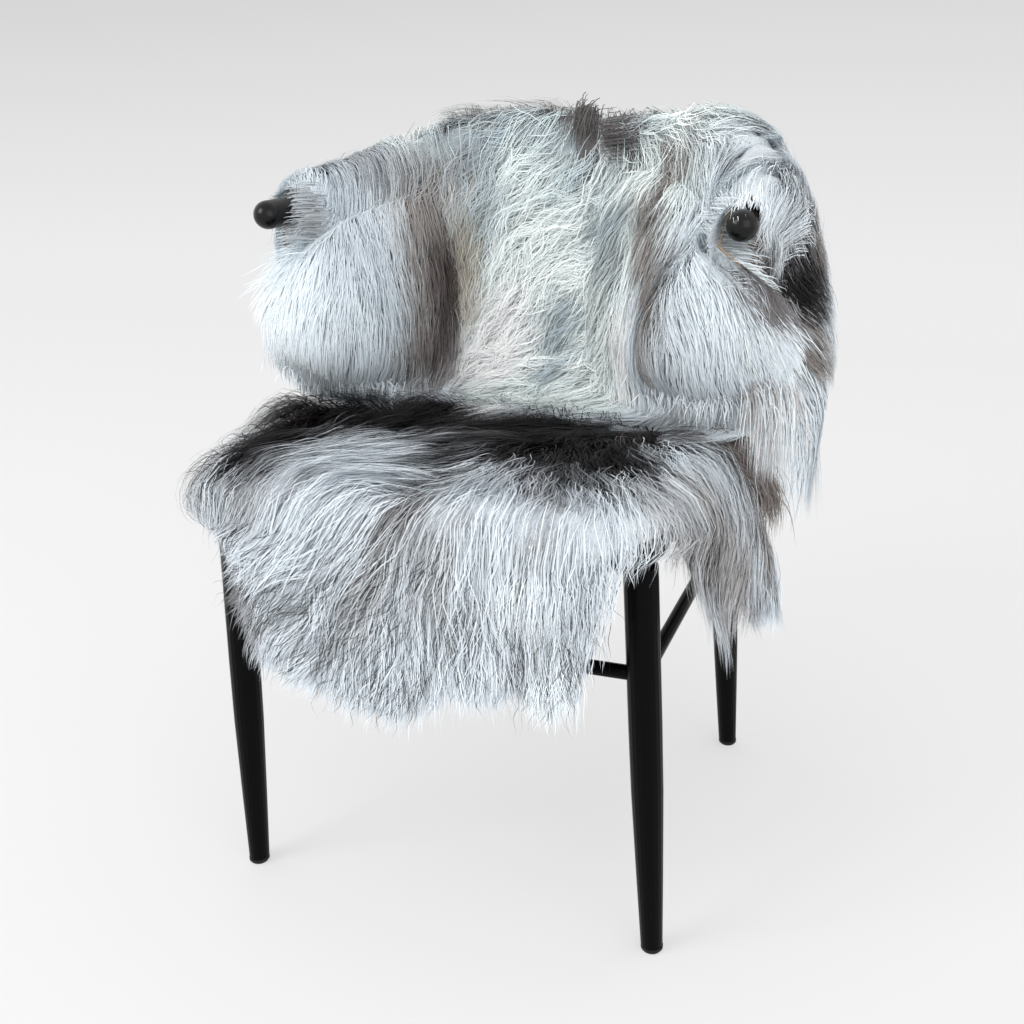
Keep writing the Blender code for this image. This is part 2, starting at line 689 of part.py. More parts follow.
def grid_faces(grid):
    """Four-sided faces between the rows of an index grid."""
    return [(grid[r, c], grid[r + 1, c], grid[r + 1, c + 1], grid[r, c + 1])
            for r in range(grid.shape[0] - 1) for c in range(grid.shape[1] - 1)]


def lumpiness(points):
    """A smooth unevenness over the wool, between about -1.6 and 1.6."""
    return sum(row.share * np.sin(points @ row.first) * np.sin(points @ row.second) for row in LUMPS)


def make_skin(wool, parts):
    """The whole sheepskin: the sheet, thickened outwards by the wool."""
    points, pile, disc_grid, back_grid, front_grid = skin_points()
    first_ring = disc_grid[0]
    faces = [(0, int(a), int(b)) for a, b in zip(first_ring[:-1], first_ring[1:])]
    for grid in (disc_grid, back_grid, front_grid):
        faces += [tuple(int(i) for i in face) for face in grid_faces(grid)]
    mesh = bpy.data.meshes.new("sheepskin")
    mesh.from_pydata(points.tolist(), [], faces)
    mesh.shade_smooth()
    skin = place("sheepskin", mesh, wool, parts)
    weights = pile / PILE * (1.0 + LUMP * lumpiness(points) * (pile > RIM_PILE * 1.2))
    group = skin.vertex_groups.new(name="pile")
    for index, weight in enumerate(np.clip(weights, 0.05, 1.0)):
        group.add([index], float(weight), "REPLACE")
    wall = skin.modifiers.new("wool", "SOLIDIFY")
    wall.thickness = PILE
    wall.offset = 1.0
    wall.vertex_group = group.name
    wall.use_rim = True


def main():
    """Builds the chair and the sheepskin on it."""
    for item in list(bpy.data.objects):
        bpy.data.objects.remove(item)
    parts = collection("sheepskin_on_chair")
    cutters = collection("cutters")
    middle_of_chair(parts)
    black = finish("black_lacquer", (0.012, 0.013, 0.015), 0.38)
    rubber = finish("glide_plastic", (0.03, 0.03, 0.03), 0.55)
    wool = finish("grey_wool", (0.55, 0.56, 0.57), 0.9)
    make_seat(black, parts)
    make_legs(black, rubber, parts)
    make_stretchers(black, parts, cutters)
    make_bow(black, parts, cutters)
    make_skin(wool, parts)


main()
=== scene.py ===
"""Looks of a long-haired grey sheepskin on a black spindle armchair.

The hide is one sheet. Its form is a function of two parameters on each of two charts: the lap, which is the
skin laid flat over the seat and folded down its edges, and the back, which climbs the spindles, crosses the
bow and hangs behind it. The wool is combed over those charts: every hair walks along the skin from its root
in the direction that the comb strokes give, in locks that share a path.

Lengths are in metres. The form is worked out from the middle of the chair and is moved to the frame's origin
when a piece is made.
"""

import logging
import math
from dataclasses import dataclass, field
from enum import Enum

import bpy
import numpy as np
from mathutils import Matrix, Vector


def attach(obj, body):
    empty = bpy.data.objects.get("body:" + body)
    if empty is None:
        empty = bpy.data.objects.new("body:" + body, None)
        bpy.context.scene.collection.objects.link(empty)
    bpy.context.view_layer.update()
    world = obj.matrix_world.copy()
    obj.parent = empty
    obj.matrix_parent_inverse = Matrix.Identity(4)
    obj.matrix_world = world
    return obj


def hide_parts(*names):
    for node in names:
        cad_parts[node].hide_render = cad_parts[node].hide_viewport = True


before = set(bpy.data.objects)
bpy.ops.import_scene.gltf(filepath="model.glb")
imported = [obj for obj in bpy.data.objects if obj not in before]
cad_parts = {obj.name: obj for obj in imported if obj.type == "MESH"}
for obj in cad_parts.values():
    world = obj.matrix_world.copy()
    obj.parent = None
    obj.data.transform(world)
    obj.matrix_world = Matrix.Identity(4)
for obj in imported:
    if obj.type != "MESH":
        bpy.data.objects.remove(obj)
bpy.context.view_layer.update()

LOG = logging.getLogger("sheepskin")
CHAIR_MIDDLE = np.array([-0.0140, -0.0290, 0.0])
PICTURE = 1024.0
BODY = "root"
BRIGHTEST = 0.985
TAU = 2.0 * math.pi

Array = np.ndarray
Pair = tuple[float, float]
Random = np.random.Generator
Piece = bpy.types.Object
Material = bpy.types.Material


def ease(value: Array | float) -> Array:
    """Smooth step from 0 to 1: s squared times (3 - 2 s)."""
    s = np.clip(value, 0.0, 1.0)
    return s * s * (3.0 - 2.0 * s)


def unit(vectors: Array) -> Array:
    """Vectors divided by their length."""
    return vectors / np.maximum(np.linalg.norm(vectors, axis=-1, keepdims=True), 1e-9)


def linear(shade: Array) -> Array:
    """Light of a display colour: ((c + 0.055) / 1.055) to the power 2.4, and c / 12.92 near black."""
    c = np.asarray(shade, float)
    return np.where(c <= 0.04045, c / 12.92, ((c + 0.055) / 1.055) ** 2.4)


def grid_quads(index: Array, turned: bool = False) -> Array:
    """Quads of a grid of vertex numbers: each goes round by its row first, or by its column where turned."""
    corners = [index[:-1, :-1], index[:-1, 1:], index[1:, 1:], index[1:, :-1]]
    if turned:
        corners = [corners[0], *corners[:0:-1]]
    return np.stack(corners, axis=-1).reshape(-1, 4)


@dataclass(frozen=True)
class Step:
    """A smooth step of a value: 0 up to its start, and 1 from its width past that."""

    start: float
    width: float

    def at(self, value: Array) -> Array:
        """The step's height at a value."""
        return ease((value - self.start) / self.width)


@dataclass(frozen=True)
class Bell:
    """A Gaussian bump of a value about a middle."""

    middle: float
    reach: float

    def at(self, value: Array) -> Array:
        """The bump's height: e to the power of minus the square of the distance in reaches."""
        return np.exp(-((value - self.middle) / self.reach) ** 2)


@dataclass(frozen=True)
class Table:
    """Rows of numbers with named columns, read as smooth curves over the first column."""

    columns: tuple[str, ...]
    rows: tuple[tuple[float, ...], ...]

    def column(self, name: str) -> Array:
        """One named column as an array."""
        return np.array([row[self.columns.index(name)] for row in self.rows], float)

    def follow(self, name: str, at: Array) -> Array:
        """A cubic Hermite curve through a column, with the slopes of neighbouring rows.

        Args:
            name: The column to read.
            at: Values of the first column.

        Returns:
            The curve's height at each value. Past either end it stays level.
        """
        x, y = self.column(self.columns[0]), self.column(name)
        slope = np.gradient(y, x)
        at = np.clip(at, x[0], x[-1])
        i = np.clip(np.searchsorted(x, at) - 1, 0, len(x) - 2)
        span = x[i + 1] - x[i]
        s = (at - x[i]) / span
        rise = s * s * (3.0 - 2.0 * s)
        start, stop = s * (1.0 - s) ** 2, s * s * (s - 1.0)
        return y[i] + (y[i + 1] - y[i]) * rise + span * (slope[i] * start + slope[i + 1] * stop)


@dataclass(frozen=True)
class BowLine:
    """The axis of the bent bow: two straight arms and a half ellipse that rises behind."""

    radius: float = 0.0153
    half_width: float = 0.2587
    depth: float = 0.240
    arm_tip: float = -0.040
    arm_end: float = 0.040
    height: float = 0.700
    rise: float = 0.050
    rise_from: float = 10.0
    rise_to: float = 70.0
    samples: int = 361

    def point(self, turn: Array) -> Array:
        """Points by angle: an ellipse in plan that starts at the right arm, lifted by a smooth step."""
        turn = np.asarray(turn, float)
        angle = np.radians(turn)
        from_side = 90.0 - np.abs(turn - 90.0)
        lift = self.rise * ease((from_side - self.rise_from) / (self.rise_to - self.rise_from))
        return np.stack([self.half_width * np.cos(angle), self.arm_end + self.depth * np.sin(angle),
                         self.height + lift], axis=-1)

    def along(self, distance: Array) -> Array:
        """Points by distance from the end of the right arm, which run on straight past either end."""
        turns = np.linspace(0.0, 180.0, self.samples)
        steps = np.linalg.norm(np.diff(self.point(turns), axis=0), axis=1)
        length = np.concatenate([[0.0], np.cumsum(steps)])
        points = self.point(np.interp(distance, length, turns))
        points[..., 1] += np.minimum(distance, 0.0) - np.maximum(distance - length[-1], 0.0)
        return points

    def length(self) -> float:
        """Length of the bent part."""
        steps = np.diff(self.point(np.linspace(0.0, 180.0, self.samples)), axis=0)
        return float(np.linalg.norm(steps, axis=1).sum())


@dataclass
class Chart:
    """A patch of the skin as points over a regular grid of two parameters.

    Between grid points every field is a blend of its four neighbours, and past the rim it runs on straight.
    """

    low: Array
    step: Array
    points: Array
    pile: Array
    flip: float = 1.0
    worn: Array | None = None
    across: Array = field(init=False)
    along: Array = field(init=False)
    normals: Array = field(init=False)

    def __post_init__(self) -> None:
        """Works out both tangents by central differences, and their cross product as the way out."""
        self.along = np.gradient(self.points, self.step[1], axis=0)
        self.across = np.gradient(self.points, self.step[0], axis=1)
        self.normals = unit(np.cross(self.across, self.along)) * self.flip

    def read(self, grid: Array, at: Array) -> Array:
        """A field at parameter values.

        Args:
            grid: Values over the chart's grid.
            at: Pairs of parameters, across and along.

        Returns:
            The bilinear blend, which is carried on in a straight line outside the grid.
        """
        place = (at - self.low) / self.step
        rows, cols = self.points.shape[:2]
        col = np.clip(np.floor(place[..., 0]).astype(int), 0, cols - 2)
        row = np.clip(np.floor(place[..., 1]).astype(int), 0, rows - 2)
        u, v = place[..., 0] - col, place[..., 1] - row
        if grid.ndim == 3:
            u, v = u[..., None], v[..., None]
        near = grid[row, col] * (1.0 - u) + grid[row, col + 1] * u
        far = grid[row + 1, col] * (1.0 - u) + grid[row + 1, col + 1] * u
        return near * (1.0 - v) + far * v

    def inside(self, at: Array) -> Array:
        """Parameters held to the grid's range."""
        rows, cols = self.points.shape[:2]
        return np.clip(at, self.low, self.low + self.step * np.array([cols - 1, rows - 1]))

    def walk(self, at: Array, way: Array, stride: Array) -> Array:
        """Moves along the skin in a direction of space.

        The step in parameters solves the two tangents' normal equations, so that the step in space is as
        near as it can be to the wanted one.

        Args:
            at: Pairs of parameters.
            way: Directions in space.
            stride: Distance to go.

        Returns:
            The new parameters.
        """
        held = self.inside(at)
        a, b = self.read(self.across, held), self.read(self.along, held)
        wanted = way * stride[..., None]
        aa, bb, ab = (a * a).sum(-1), (b * b).sum(-1), (a * b).sum(-1)
        wa, wb = (a * wanted).sum(-1), (b * wanted).sum(-1)
        size = np.maximum(aa * bb - ab * ab, 1e-12 + 0.02 * aa * bb)
        return at + np.stack([(bb * wa - ab * wb) / size, (aa * wb - ab * wa) / size], axis=-1)


@dataclass(frozen=True)
class Sheet:
    """The whole skin as a mesh: points, the wool's depth, faces, and each point's place on its chart."""

    points: Array
    pile: Array
    faces: list[Array]
    places: Array
    on_back: Array


WALLS = Table(("angle", "inner", "outer", "hang", "bunch", "pile"), (
    (30.0, -0.100, 0.006, 0.235, 0.002, 0.026),
    (31.5, -0.068, 0.024, 0.265, 0.006, 0.028),
    (34.0, -0.010, 0.038, 0.285, 0.010, 0.030),
    (38.0, 0.030, 0.044, 0.298, 0.016, 0.030),
    (46.0, 0.052, 0.046, 0.290, 0.028, 0.030),
    (57.0, 0.052, 0.042, 0.245, 0.026, 0.032),
    (67.0, 0.030, 0.030, 0.195, 0.010, 0.040),
    (76.0, 0.000, 0.018, 0.160, 0.002, 0.044),
    (90.0, 0.006, 0.012, 0.140, 0.003, 0.045),
    (108.0, 0.000, 0.014, 0.155, 0.004, 0.044),
    (120.0, 0.004, 0.018, 0.165, 0.002, 0.036),
    (131.0, 0.034, 0.020, 0.175, 0.000, 0.030),
    (142.0, 0.030, 0.020, 0.180, 0.000, 0.028),
    (146.5, 0.000, 0.012, 0.172, 0.000, 0.028),
    (150.0, -0.045, 0.002, 0.160, 0.000, 0.026),
))

EDGES = Table(("place", "left", "right"), (
    (0.20, 0.000, 0.000),
    (0.28, 0.050, 0.026),
    (0.36, 0.078, 0.056),
    (0.48, 0.088, 0.074),
    (0.60, 0.082, 0.082),
    (0.78, 0.060, 0.076),
    (0.92, 0.026, 0.058),
    (1.00, 0.013, 0.050),
    (2.00, 0.010, 0.040),
    (2.30, 0.004, 0.014),
    (3.00, -0.010, 0.004),
))

HEM = Table(("side", "along", "height", "root"), (
    (-1.0, 0.042, 0.425, 0.040),
    (-1.0, -0.060, 0.425, -0.060),
    (-1.0, -0.185, 0.425, -0.180),
    (0.0, -0.210, 0.418, -0.200),
    (0.0, -0.202, 0.370, -0.186),
    (0.0, -0.190, 0.318, -0.170),
    (0.0, -0.158, 0.284, -0.140),
    (0.0, -0.108, 0.269, -0.095),
    (0.0, -0.070, 0.252, -0.062),
    (0.0, -0.010, 0.254, -0.012),
    (0.0, 0.034, 0.266, 0.026),
    (0.0, 0.055, 0.282, 0.046),
    (0.0, 0.115, 0.290, 0.096),
    (0.0, 0.145, 0.275, 0.124),
    (0.0, 0.174, 0.300, 0.150),
    (0.0, 0.194, 0.360, 0.174),
    (0.0, 0.210, 0.418, 0.200),
    (1.0, -0.188, 0.418, -0.184),
    (1.0, -0.172, 0.370, -0.166),
    (1.0, -0.148, 0.330, -0.144),
    (1.0, -0.070, 0.296, -0.098),
    (1.0, 0.010, 0.272, -0.058),
    (1.0, 0.060, 0.264, -0.020),
    (1.0, 0.098, 0.290, 0.002),
    (1.0, 0.104, 0.335, 0.016),
    (1.0, 0.094, 0.385, 0.030),
    (1.0, 0.076, 0.425, 0.042),
))


@dataclass(frozen=True)
class SkinForm:
    """The sheet that the hide follows, from named sizes and short tables."""

    bow: BowLine = BowLine()
    seat_top: float = 0.450
    seat_half_width: float = 0.232
    seat_front: float = -0.245
    seat_rear: float = 0.205
    seat_corner: float = 0.055
    gap: float = 0.0003
    clear: float = 0.0036
    fold: float = 0.012
    centre: Pair = (0.0, -0.020)
    disc_share: float = 0.52
    disc_power: float = 4.0
    tear_right: float = 30.0
    tear_left: float = 150.0
    lines_closer: float = 0.62
    flare: float = 0.08
    flare_right: float = 0.26
    wave: float = 0.012
    wave_pitch: float = 0.095
    corner_reach: float = 0.070
    corner_climb: float = 0.080
    swell_from: float = 0.06
    swell_to: float = 0.9
    band_start: float = 0.010
    seat_pile: float = 0.041
    rim_pile: float = 0.011
    edge_fade: float = 0.24
    wave_from: Step = Step(0.0, 0.18)
    thin_to_rim: Step = Step(0.2, 0.8)
    thin_to_tear: Step = Step(0.0, 0.06)
    tear_pile: float = 0.3
    tear_start_right: float = 0.076
    tear_start_left: float = 0.042
    side_thin: Step = Step(0.0, 0.068)
    side_pile: float = 0.25
    foot_thin: Step = Step(0.3, 0.3)
    foot_lost: float = 0.25
    hem_thin: Step = Step(2.5, 0.5)
    swell_power: float = 0.8
    bow_stand: float = 0.3
    stand_speed: float = 1.6
    rim_samples: int = 160
    walls: Table = WALLS
    edges: Table = EDGES
    hem: Table = HEM

    def fold_outline(self) -> tuple[Array, float, Array]:
        """Half sizes, corner radius and centre of the line on the seat where the skin starts to fold."""
        lip = self.fold - self.clear - self.gap
        half = np.array([self.seat_half_width - lip, (self.seat_rear - self.seat_front) / 2.0 - lip])
        return half, self.seat_corner - lip, np.array([0.0, (self.seat_rear + self.seat_front) / 2.0])

    def past_fold(self, flat: Array) -> tuple[Array, Array, Array]:
        """Nearest points of a rounded rectangle, the way out of it and the distance past it."""
        half, corner, centre = self.fold_outline()
        core = np.clip(flat - centre, corner - half, half - corner)
        away = flat - centre - core
        reach = np.linalg.norm(away, axis=-1)
        out = away / np.maximum(reach, 1e-9)[..., None]
        return centre + core + out * corner, out, reach - corner

    def draped(self, flat: Array) -> Array:
        """Flat points of the lap in space.

        Up to the fold they lie on the seat. Past it they go round a quarter circle and then straight down,
        while a flare and a slow wave push them outwards by the depth that they have fallen.

        Args:
            flat: Pairs x, y of the skin laid flat.

        Returns:
            Points x, y, z.
        """
        edge_point, out, past = self.past_fold(flat)
        past = np.maximum(past, 0.0)
        arc = np.minimum(past / self.fold, math.pi / 2.0)
        fall = np.maximum(past - self.fold * math.pi / 2.0, 0.0)
        ground = np.where(past[..., None] > 0.0, edge_point, flat)
        edge = ground[..., 0] - ground[..., 1]
        wave = self.wave * (0.5 + 0.5 * np.sin(TAU * edge / self.wave_pitch)) * self.wave_from.at(fall)
        flare = (self.flare + self.flare_right * np.maximum(out[..., 0], 0.0)) * fall
        ground = ground + out * (self.fold * np.sin(arc) + flare + wave)[..., None]
        height = self.seat_top + self.clear - self.fold * (1.0 - np.cos(arc)) - fall
        return np.concatenate([ground, height[..., None]], axis=-1)

    def disc_rim(self, angle: Array) -> Array:
        """The middle patch's edge: a super-ellipse inside the seat's outline."""
        turn = np.radians(angle)
        cx, cy = self.centre
        depth = np.where(np.sin(turn) > 0.0, self.seat_rear - cy, cy - self.seat_front)
        across = np.abs(np.cos(turn) / self.seat_half_width) ** self.disc_power
        along = np.abs(np.sin(turn) / depth) ** self.disc_power
        radius = self.disc_share * (across + along) ** (-1.0 / self.disc_power)
        return np.stack([cx + radius * np.cos(turn), cy + radius * np.sin(turn)], axis=-1)

    def hem_flat(self, count: int) -> tuple[Array, Array]:
        """Rim of the lap's wool and the places where its lines leave the seat's edge, on the skin laid flat.

        Args:
            count: How many stretches of equal length the rim is cut into.

        Returns:
            The rim's points and each one's root.
        """
        half, _, centre = self.fold_outline()
        side, along = self.hem.column("side"), self.hem.column("along")
        past = self.roll() + self.seat_top + self.clear - self.fold - self.hem.column("height")

        def beside(place: Array, gone: Array) -> Array:
            """Flat points beyond one side of the fold's outline."""
            return np.stack([np.where(side == 0.0, place, side * (half[0] + gone)),
                             np.where(side == 0.0, centre[1] - half[1] - gone, place)], axis=1)

        tips, roots = beside(along, past), beside(self.hem.column("root"), past * 0.0)
        length = np.concatenate([[0.0], np.cumsum(np.linalg.norm(np.diff(tips, axis=0), axis=1))])
        at = np.linspace(0.0, length[-1], count + 1)
        even = [np.interp(at, length, line) for line in (*tips.T, *roots.T)]
        return np.stack(even[:2], axis=1), self.past_fold(np.stack(even[2:], axis=1))[0]

    def roll(self) -> float:
        """Length of skin that the fold takes."""
        return self.fold * math.pi / 2.0

    def within(self, flat: Array) -> tuple[Array, Array]:
        """Whether flat points lie on the lap, and how far each is from the lap's rim.

        A point is inside when a ray to the right crosses the outline an odd number of times.
        """
        rim = self.hem_flat(self.rim_samples)[0]
        outline = np.concatenate([rim, self.disc_rim(np.linspace(self.tear_right, self.tear_left, 40))])
        a, b = outline, np.roll(outline, -1, axis=0)
        x, y = flat[:, :1], flat[:, 1:]
        spans = (a[:, 1] > y) != (b[:, 1] > y)
        slope = (b[:, 0] - a[:, 0]) / np.where(a[:, 1] == b[:, 1], 1e-9, b[:, 1] - a[:, 1])
        crossed = spans & (x < a[:, 0] + (y - a[:, 1]) * slope)
        start, line = rim[:-1], np.diff(rim, axis=0)
        share = ((flat[:, None, :] - start) * line).sum(-1) / (line * line).sum(-1)
        nearest = start + np.clip(share, 0.0, 1.0)[..., None] * line
        gap = np.linalg.norm(flat[:, None, :] - nearest, axis=-1).min(axis=1)
        return crossed.sum(axis=1) % 2 == 1, gap

    def angles(self, share: Array) -> Array:
        """Angle about the seat's centre of the back's lines, which stand closer together at the tears."""
        share = share - self.lines_closer / TAU * np.sin(TAU * share)
        return self.tear_right + (self.tear_left - self.tear_right) * share

    def back(self, share: Array, station: Array) -> Array:
        """Points of the back.

        In each upright plane the line leaves the seat in a soft corner, climbs straight to the bow with a
        swell, goes round the bow and hangs behind it. Both tears' edges are slid along the bow by a table.

        Args:
            share: Place across, from 0 at the right tear to 1 at the left one.
            station: Place along: below 0 on the seat, 0 to 1 up to the bow, to 2 over it, to 3 behind.

        Returns:
            Points x, y, z.
        """
        angle = self.angles(share)
        place = (angle - self.tear_right) / (self.tear_left - self.tear_right)
        start = self.disc_rim(angle)
        distance = self.band_start + (self.bow.length() - 2.0 * self.band_start) * place
        axis = self.bow.along(distance)
        across = axis[..., :2] - start
        depth = np.linalg.norm(across, axis=-1)
        base = self.seat_top + self.clear
        rise = axis[..., 2] - base
        radius = self.bow.radius + self.clear
        run = depth - self.corner_reach
        slant = np.hypot(run, rise)
        tilt = np.arctan2(rise, run) + np.arcsin(radius / slant)
        length = np.sqrt(slant ** 2 - radius ** 2)

        bend = self.corner_climb / length
        gone = np.clip(station, 0.0, 1.0) * (1.0 + bend)
        turn = np.clip(gone / (2.0 * bend), 0.0, 1.0)
        line = (gone - bend) * length
        corner_out = (2.0 * turn * (1.0 - turn) * self.corner_reach
                      + turn ** 2 * (self.corner_reach + self.corner_climb * np.cos(tilt)))
        straight = gone >= 2.0 * bend
        climb_out = np.where(straight, self.corner_reach + line * np.cos(tilt), corner_out)
        climb_up = np.where(straight, line * np.sin(tilt), turn ** 2 * self.corner_climb * np.sin(tilt))
        level = np.clip(climb_up / rise, 0.0, 1.0)
        part_up = np.clip((level - self.swell_from) / (self.swell_to - self.swell_from), 0.0, 1.0)
        swell = np.sin(math.pi * part_up) ** self.swell_power
        climb_out = climb_out - self.walls.follow("inner", angle) * swell

        over = np.clip(station - 1.0, 0.0, 1.0)
        round_bow = (tilt + math.pi / 2.0) * (1.0 - over)
        outer = self.walls.follow("outer", angle)
        over_out = depth + radius * np.cos(round_bow) + outer * self.bow_stand * over ** 2
        over_up = rise + radius * np.sin(round_bow)
        over_up = over_up + self.walls.follow("bunch", angle) * np.sin(round_bow) ** 2

        behind = np.maximum(station - 2.0, 0.0)
        stood = np.sin(0.5 * math.pi * np.minimum(1.0, self.stand_speed * behind))
        stand = outer * (self.bow_stand + (1.0 - self.bow_stand) * stood)
        behind_out = depth + radius + stand
        behind_up = rise - self.walls.follow("hang", angle) * behind

        out = np.where(station <= 1.0, climb_out, np.where(station <= 2.0, over_out, behind_out))
        up = np.where(station <= 1.0, climb_up, np.where(station <= 2.0, over_up, behind_up))
        spot = np.where(station <= 1.0, level, station)
        ground = start + across / depth[..., None] * out[..., None]
        near_right = 1.0 - ease(place / self.edge_fade)
        near_left = 1.0 - ease((1.0 - place) / self.edge_fade)
        slide = near_left * self.edges.follow("left", spot) - near_right * self.edges.follow("right", spot)
        moved = self.bow.along(distance + slide) - axis
        ground = ground + moved[..., :2]
        on_seat = np.minimum(station, 0.0)[..., None]
        ground = ground + (start - np.array(self.centre)) * on_seat
        height = base + up + moved[..., 2] * np.clip(spot, 0.0, 1.0)
        return np.concatenate([ground, height[..., None]], axis=-1)

    def lap_chart(self) -> Chart:
        """The lap over a square grid of the skin laid flat. The wool thins from the fold to the rim."""
        step, low, high = 0.004, (-0.52, -0.54), (0.52, 0.26)
        x, y = np.meshgrid(np.arange(low[0], high[0], step), np.arange(low[1], high[1], step))
        flat = np.stack([x, y], axis=-1)
        past = np.maximum(self.past_fold(flat)[2] - self.roll(), 0.0)
        parts = [self.within(rows) for rows in flat]
        on = np.stack([part[0] for part in parts])
        gap = np.where(on, np.stack([part[1] for part in parts]), 0.0)
        share = past / np.maximum(past + gap, 1e-6)
        pile = self.seat_pile + (self.rim_pile - self.seat_pile) * self.thin_to_rim.at(share)
        tear = np.where(x > 0.0, self.tear_start_right, self.tear_start_left)
        beside_tear = self.tear_pile + (1.0 - self.tear_pile) * self.thin_to_tear.at(tear - y)
        off_seat = np.abs(x) > self.seat_half_width * self.disc_share
        pile = pile * np.where(off_seat, beside_tear, 1.0)
        return Chart(np.array(low), np.array([step, step]), self.draped(flat), pile, worn=on)

    def back_pile(self, share: Array, station: Array) -> Array:
        """Depth of the back's wool: thinner on the seat's corner, along the tears and at the hem behind."""
        pile = self.walls.follow("pile", self.angles(share))
        inward = self.side_thin.at(np.minimum(share, 1.0 - share))
        pile = pile * (self.side_pile + (1.0 - self.side_pile) * inward)
        pile = pile * (1.0 - self.foot_lost * (1.0 - self.foot_thin.at(station)))
        return pile + (self.rim_pile - pile) * self.hem_thin.at(station)

    def back_chart(self) -> Chart:
        """The back over a grid of share and station, with the seat before it."""
        columns, rows, low, high = 281, 261, -0.9, 3.1
        share, station = np.meshgrid(np.linspace(0.0, 1.0, columns), np.linspace(low, high, rows))
        return Chart(np.array([0.0, low]), np.array([1.0 / (columns - 1), (high - low) / (rows - 1)]),
                     self.back(share, station), self.back_pile(share, station), flip=-1.0)

    def sheet(self, back_lines: int, front_lines: int, inset: float) -> Sheet:
        """The whole skin as one mesh: a disc on the seat, the lap's band and the back's band round it.

        Args:
            back_lines: Lines of the back's band.
            front_lines: Lines of the lap's band.
            inset: How far the skin stops short of the wool's rim.

        Returns:
            The sheet, with faces that face outwards.
        """
        turns = np.concatenate([self.angles(np.linspace(0.0, 1.0, back_lines + 1))[:-1],
                                np.linspace(self.tear_left, 360.0 + self.tear_right, front_lines + 1)[:-1]])
        rim, centre, base = self.disc_rim(turns), np.array(self.centre), self.seat_top + self.clear
        rings = [centre + (rim - centre) * ring / 5.0 for ring in range(1, 6)]
        disc_flat = np.concatenate([centre[None, :], *rings])
        disc = np.concatenate([disc_flat, np.full((len(disc_flat), 1), base)], axis=1)

        share = np.linspace(0.0, 1.0, back_lines + 1)
        hang = self.walls.follow("hang", self.angles(share))
        upward = np.repeat(np.linspace(0.0, 2.0, 27)[1:, None], back_lines + 1, axis=1)
        downward = 2.0 + (1.0 - inset / hang) * np.linspace(0.0, 1.0, 9)[1:, None]
        station = np.concatenate([upward, downward])
        back = self.back(np.broadcast_to(share, station.shape), station)
        back_pile = self.back_pile(share, station)

        tips, roots = self.hem_flat(front_lines)
        start = self.disc_rim(np.linspace(self.tear_left, 360.0 + self.tear_right, front_lines + 1))
        out = tips - roots
        length = np.linalg.norm(out, axis=1)[:, None]
        out, length = out / length, np.maximum(length - inset, 0.35 * length)
        turned = np.minimum(self.roll(), 0.6 * length)
        flat = [start + (roots - start) * step / 3.0 for step in (1, 2, 3)]
        flat += [roots + out * turned * step / 4.0 for step in (1, 2, 3, 4)]
        flat += [roots + out * (turned + (length - turned) * step / 8.0) for step in range(1, 9)]
        front = self.draped(np.array(flat))
        thin = np.concatenate([np.zeros(7), self.thin_to_rim.at(np.arange(1, 9) / 8.0)])
        front_pile = self.seat_pile + (self.rim_pile - self.seat_pile) * thin
        front_pile = np.repeat(front_pile[:, None], front_lines + 1, axis=1)

        around = back_lines + front_lines
        ring = 1 + np.arange(5 * around).reshape(5, around)
        back_grid = len(disc) + np.arange(back_pile.size).reshape(back_pile.shape)
        front_grid = len(disc) + back_pile.size + np.arange(front_pile.size).reshape(front_pile.shape)
        grids = (np.hstack([ring, ring[:, :1]]), np.vstack([ring[-1][:back_lines + 1], back_grid]),
                 np.vstack([np.append(ring[-1][back_lines:], ring[-1][0]), front_grid]))
        fan = np.stack([np.zeros(around, int), grids[0][0][:-1], grids[0][0][1:]], axis=1)
        quads = [grid_quads(grid, turned=True) for grid in grids]
        pile = np.concatenate([np.full(len(disc), self.seat_pile), back_pile.ravel(), front_pile.ravel()])
        on_back = np.concatenate([np.zeros(len(disc), bool), np.ones(back_pile.size, bool),
                                  np.zeros(front_pile.size, bool)])
        back_places = np.stack([np.broadcast_to(share, station.shape), station], axis=-1).reshape(-1, 2)
        places = np.concatenate([disc_flat, back_places, np.array(flat).reshape(-1, 2)])
        points = np.concatenate([disc, back.reshape(-1, 3), front.reshape(-1, 3)])
        return Sheet(points, pile, [fan, *quads], places, on_back)


class Shade(Enum):
    """Colours of the wool, as they look on a display."""

    PALE_BLUE = (0.86, 0.895, 0.92)
    WHITE = (0.98, 0.99, 0.995)
    CREAM = (0.90, 0.935, 0.93)
    SILVER = (0.83, 0.86, 0.885)
    BRIGHT = (0.89, 0.92, 0.94)
    LIGHT_GREY = (0.86, 0.89, 0.91)
    GREY = (0.62, 0.64, 0.66)
    BLUE_GREY = (0.52, 0.58, 0.62)
    BROWN_GREY = (0.50, 0.47, 0.455)
    LIGHT_TAUPE = (0.72, 0.71, 0.71)
    SAND = (0.68, 0.66, 0.61)
    SMOKE = (0.36, 0.345, 0.345)
    DARK_BROWN = (0.22, 0.18, 0.175)
    BLACK = (0.105, 0.095, 0.10)


class Zone(Enum):
    """Parts of the skin that comb strokes, stained patches and painted shadows keep to."""

    LAP = 0
    INNER = 1
    BEHIND = 2


@dataclass(frozen=True)
class Stroke:
    """A comb stroke, a stained patch or a painted shadow, named, between two places of the picture, with its
    reach in metres.
    """

    name: str
    zone: Zone
    start: Pair
    end: Pair
    reach: float = 0.035
    strength: float = 1.0
    shade: Shade | None = None


@dataclass(frozen=True)
class Tuft:
    """Hair that leaves the skin's edge along a line of the picture.

    Its tips lean aside and upward by metres, and its roots are lifted by metres towards the camera.
    """

    name: str
    zone: Zone
    start: Pair
    end: Pair
    aside: float
    upward: float
    hairs: int
    shade: Shade
    lift: float = -0.010


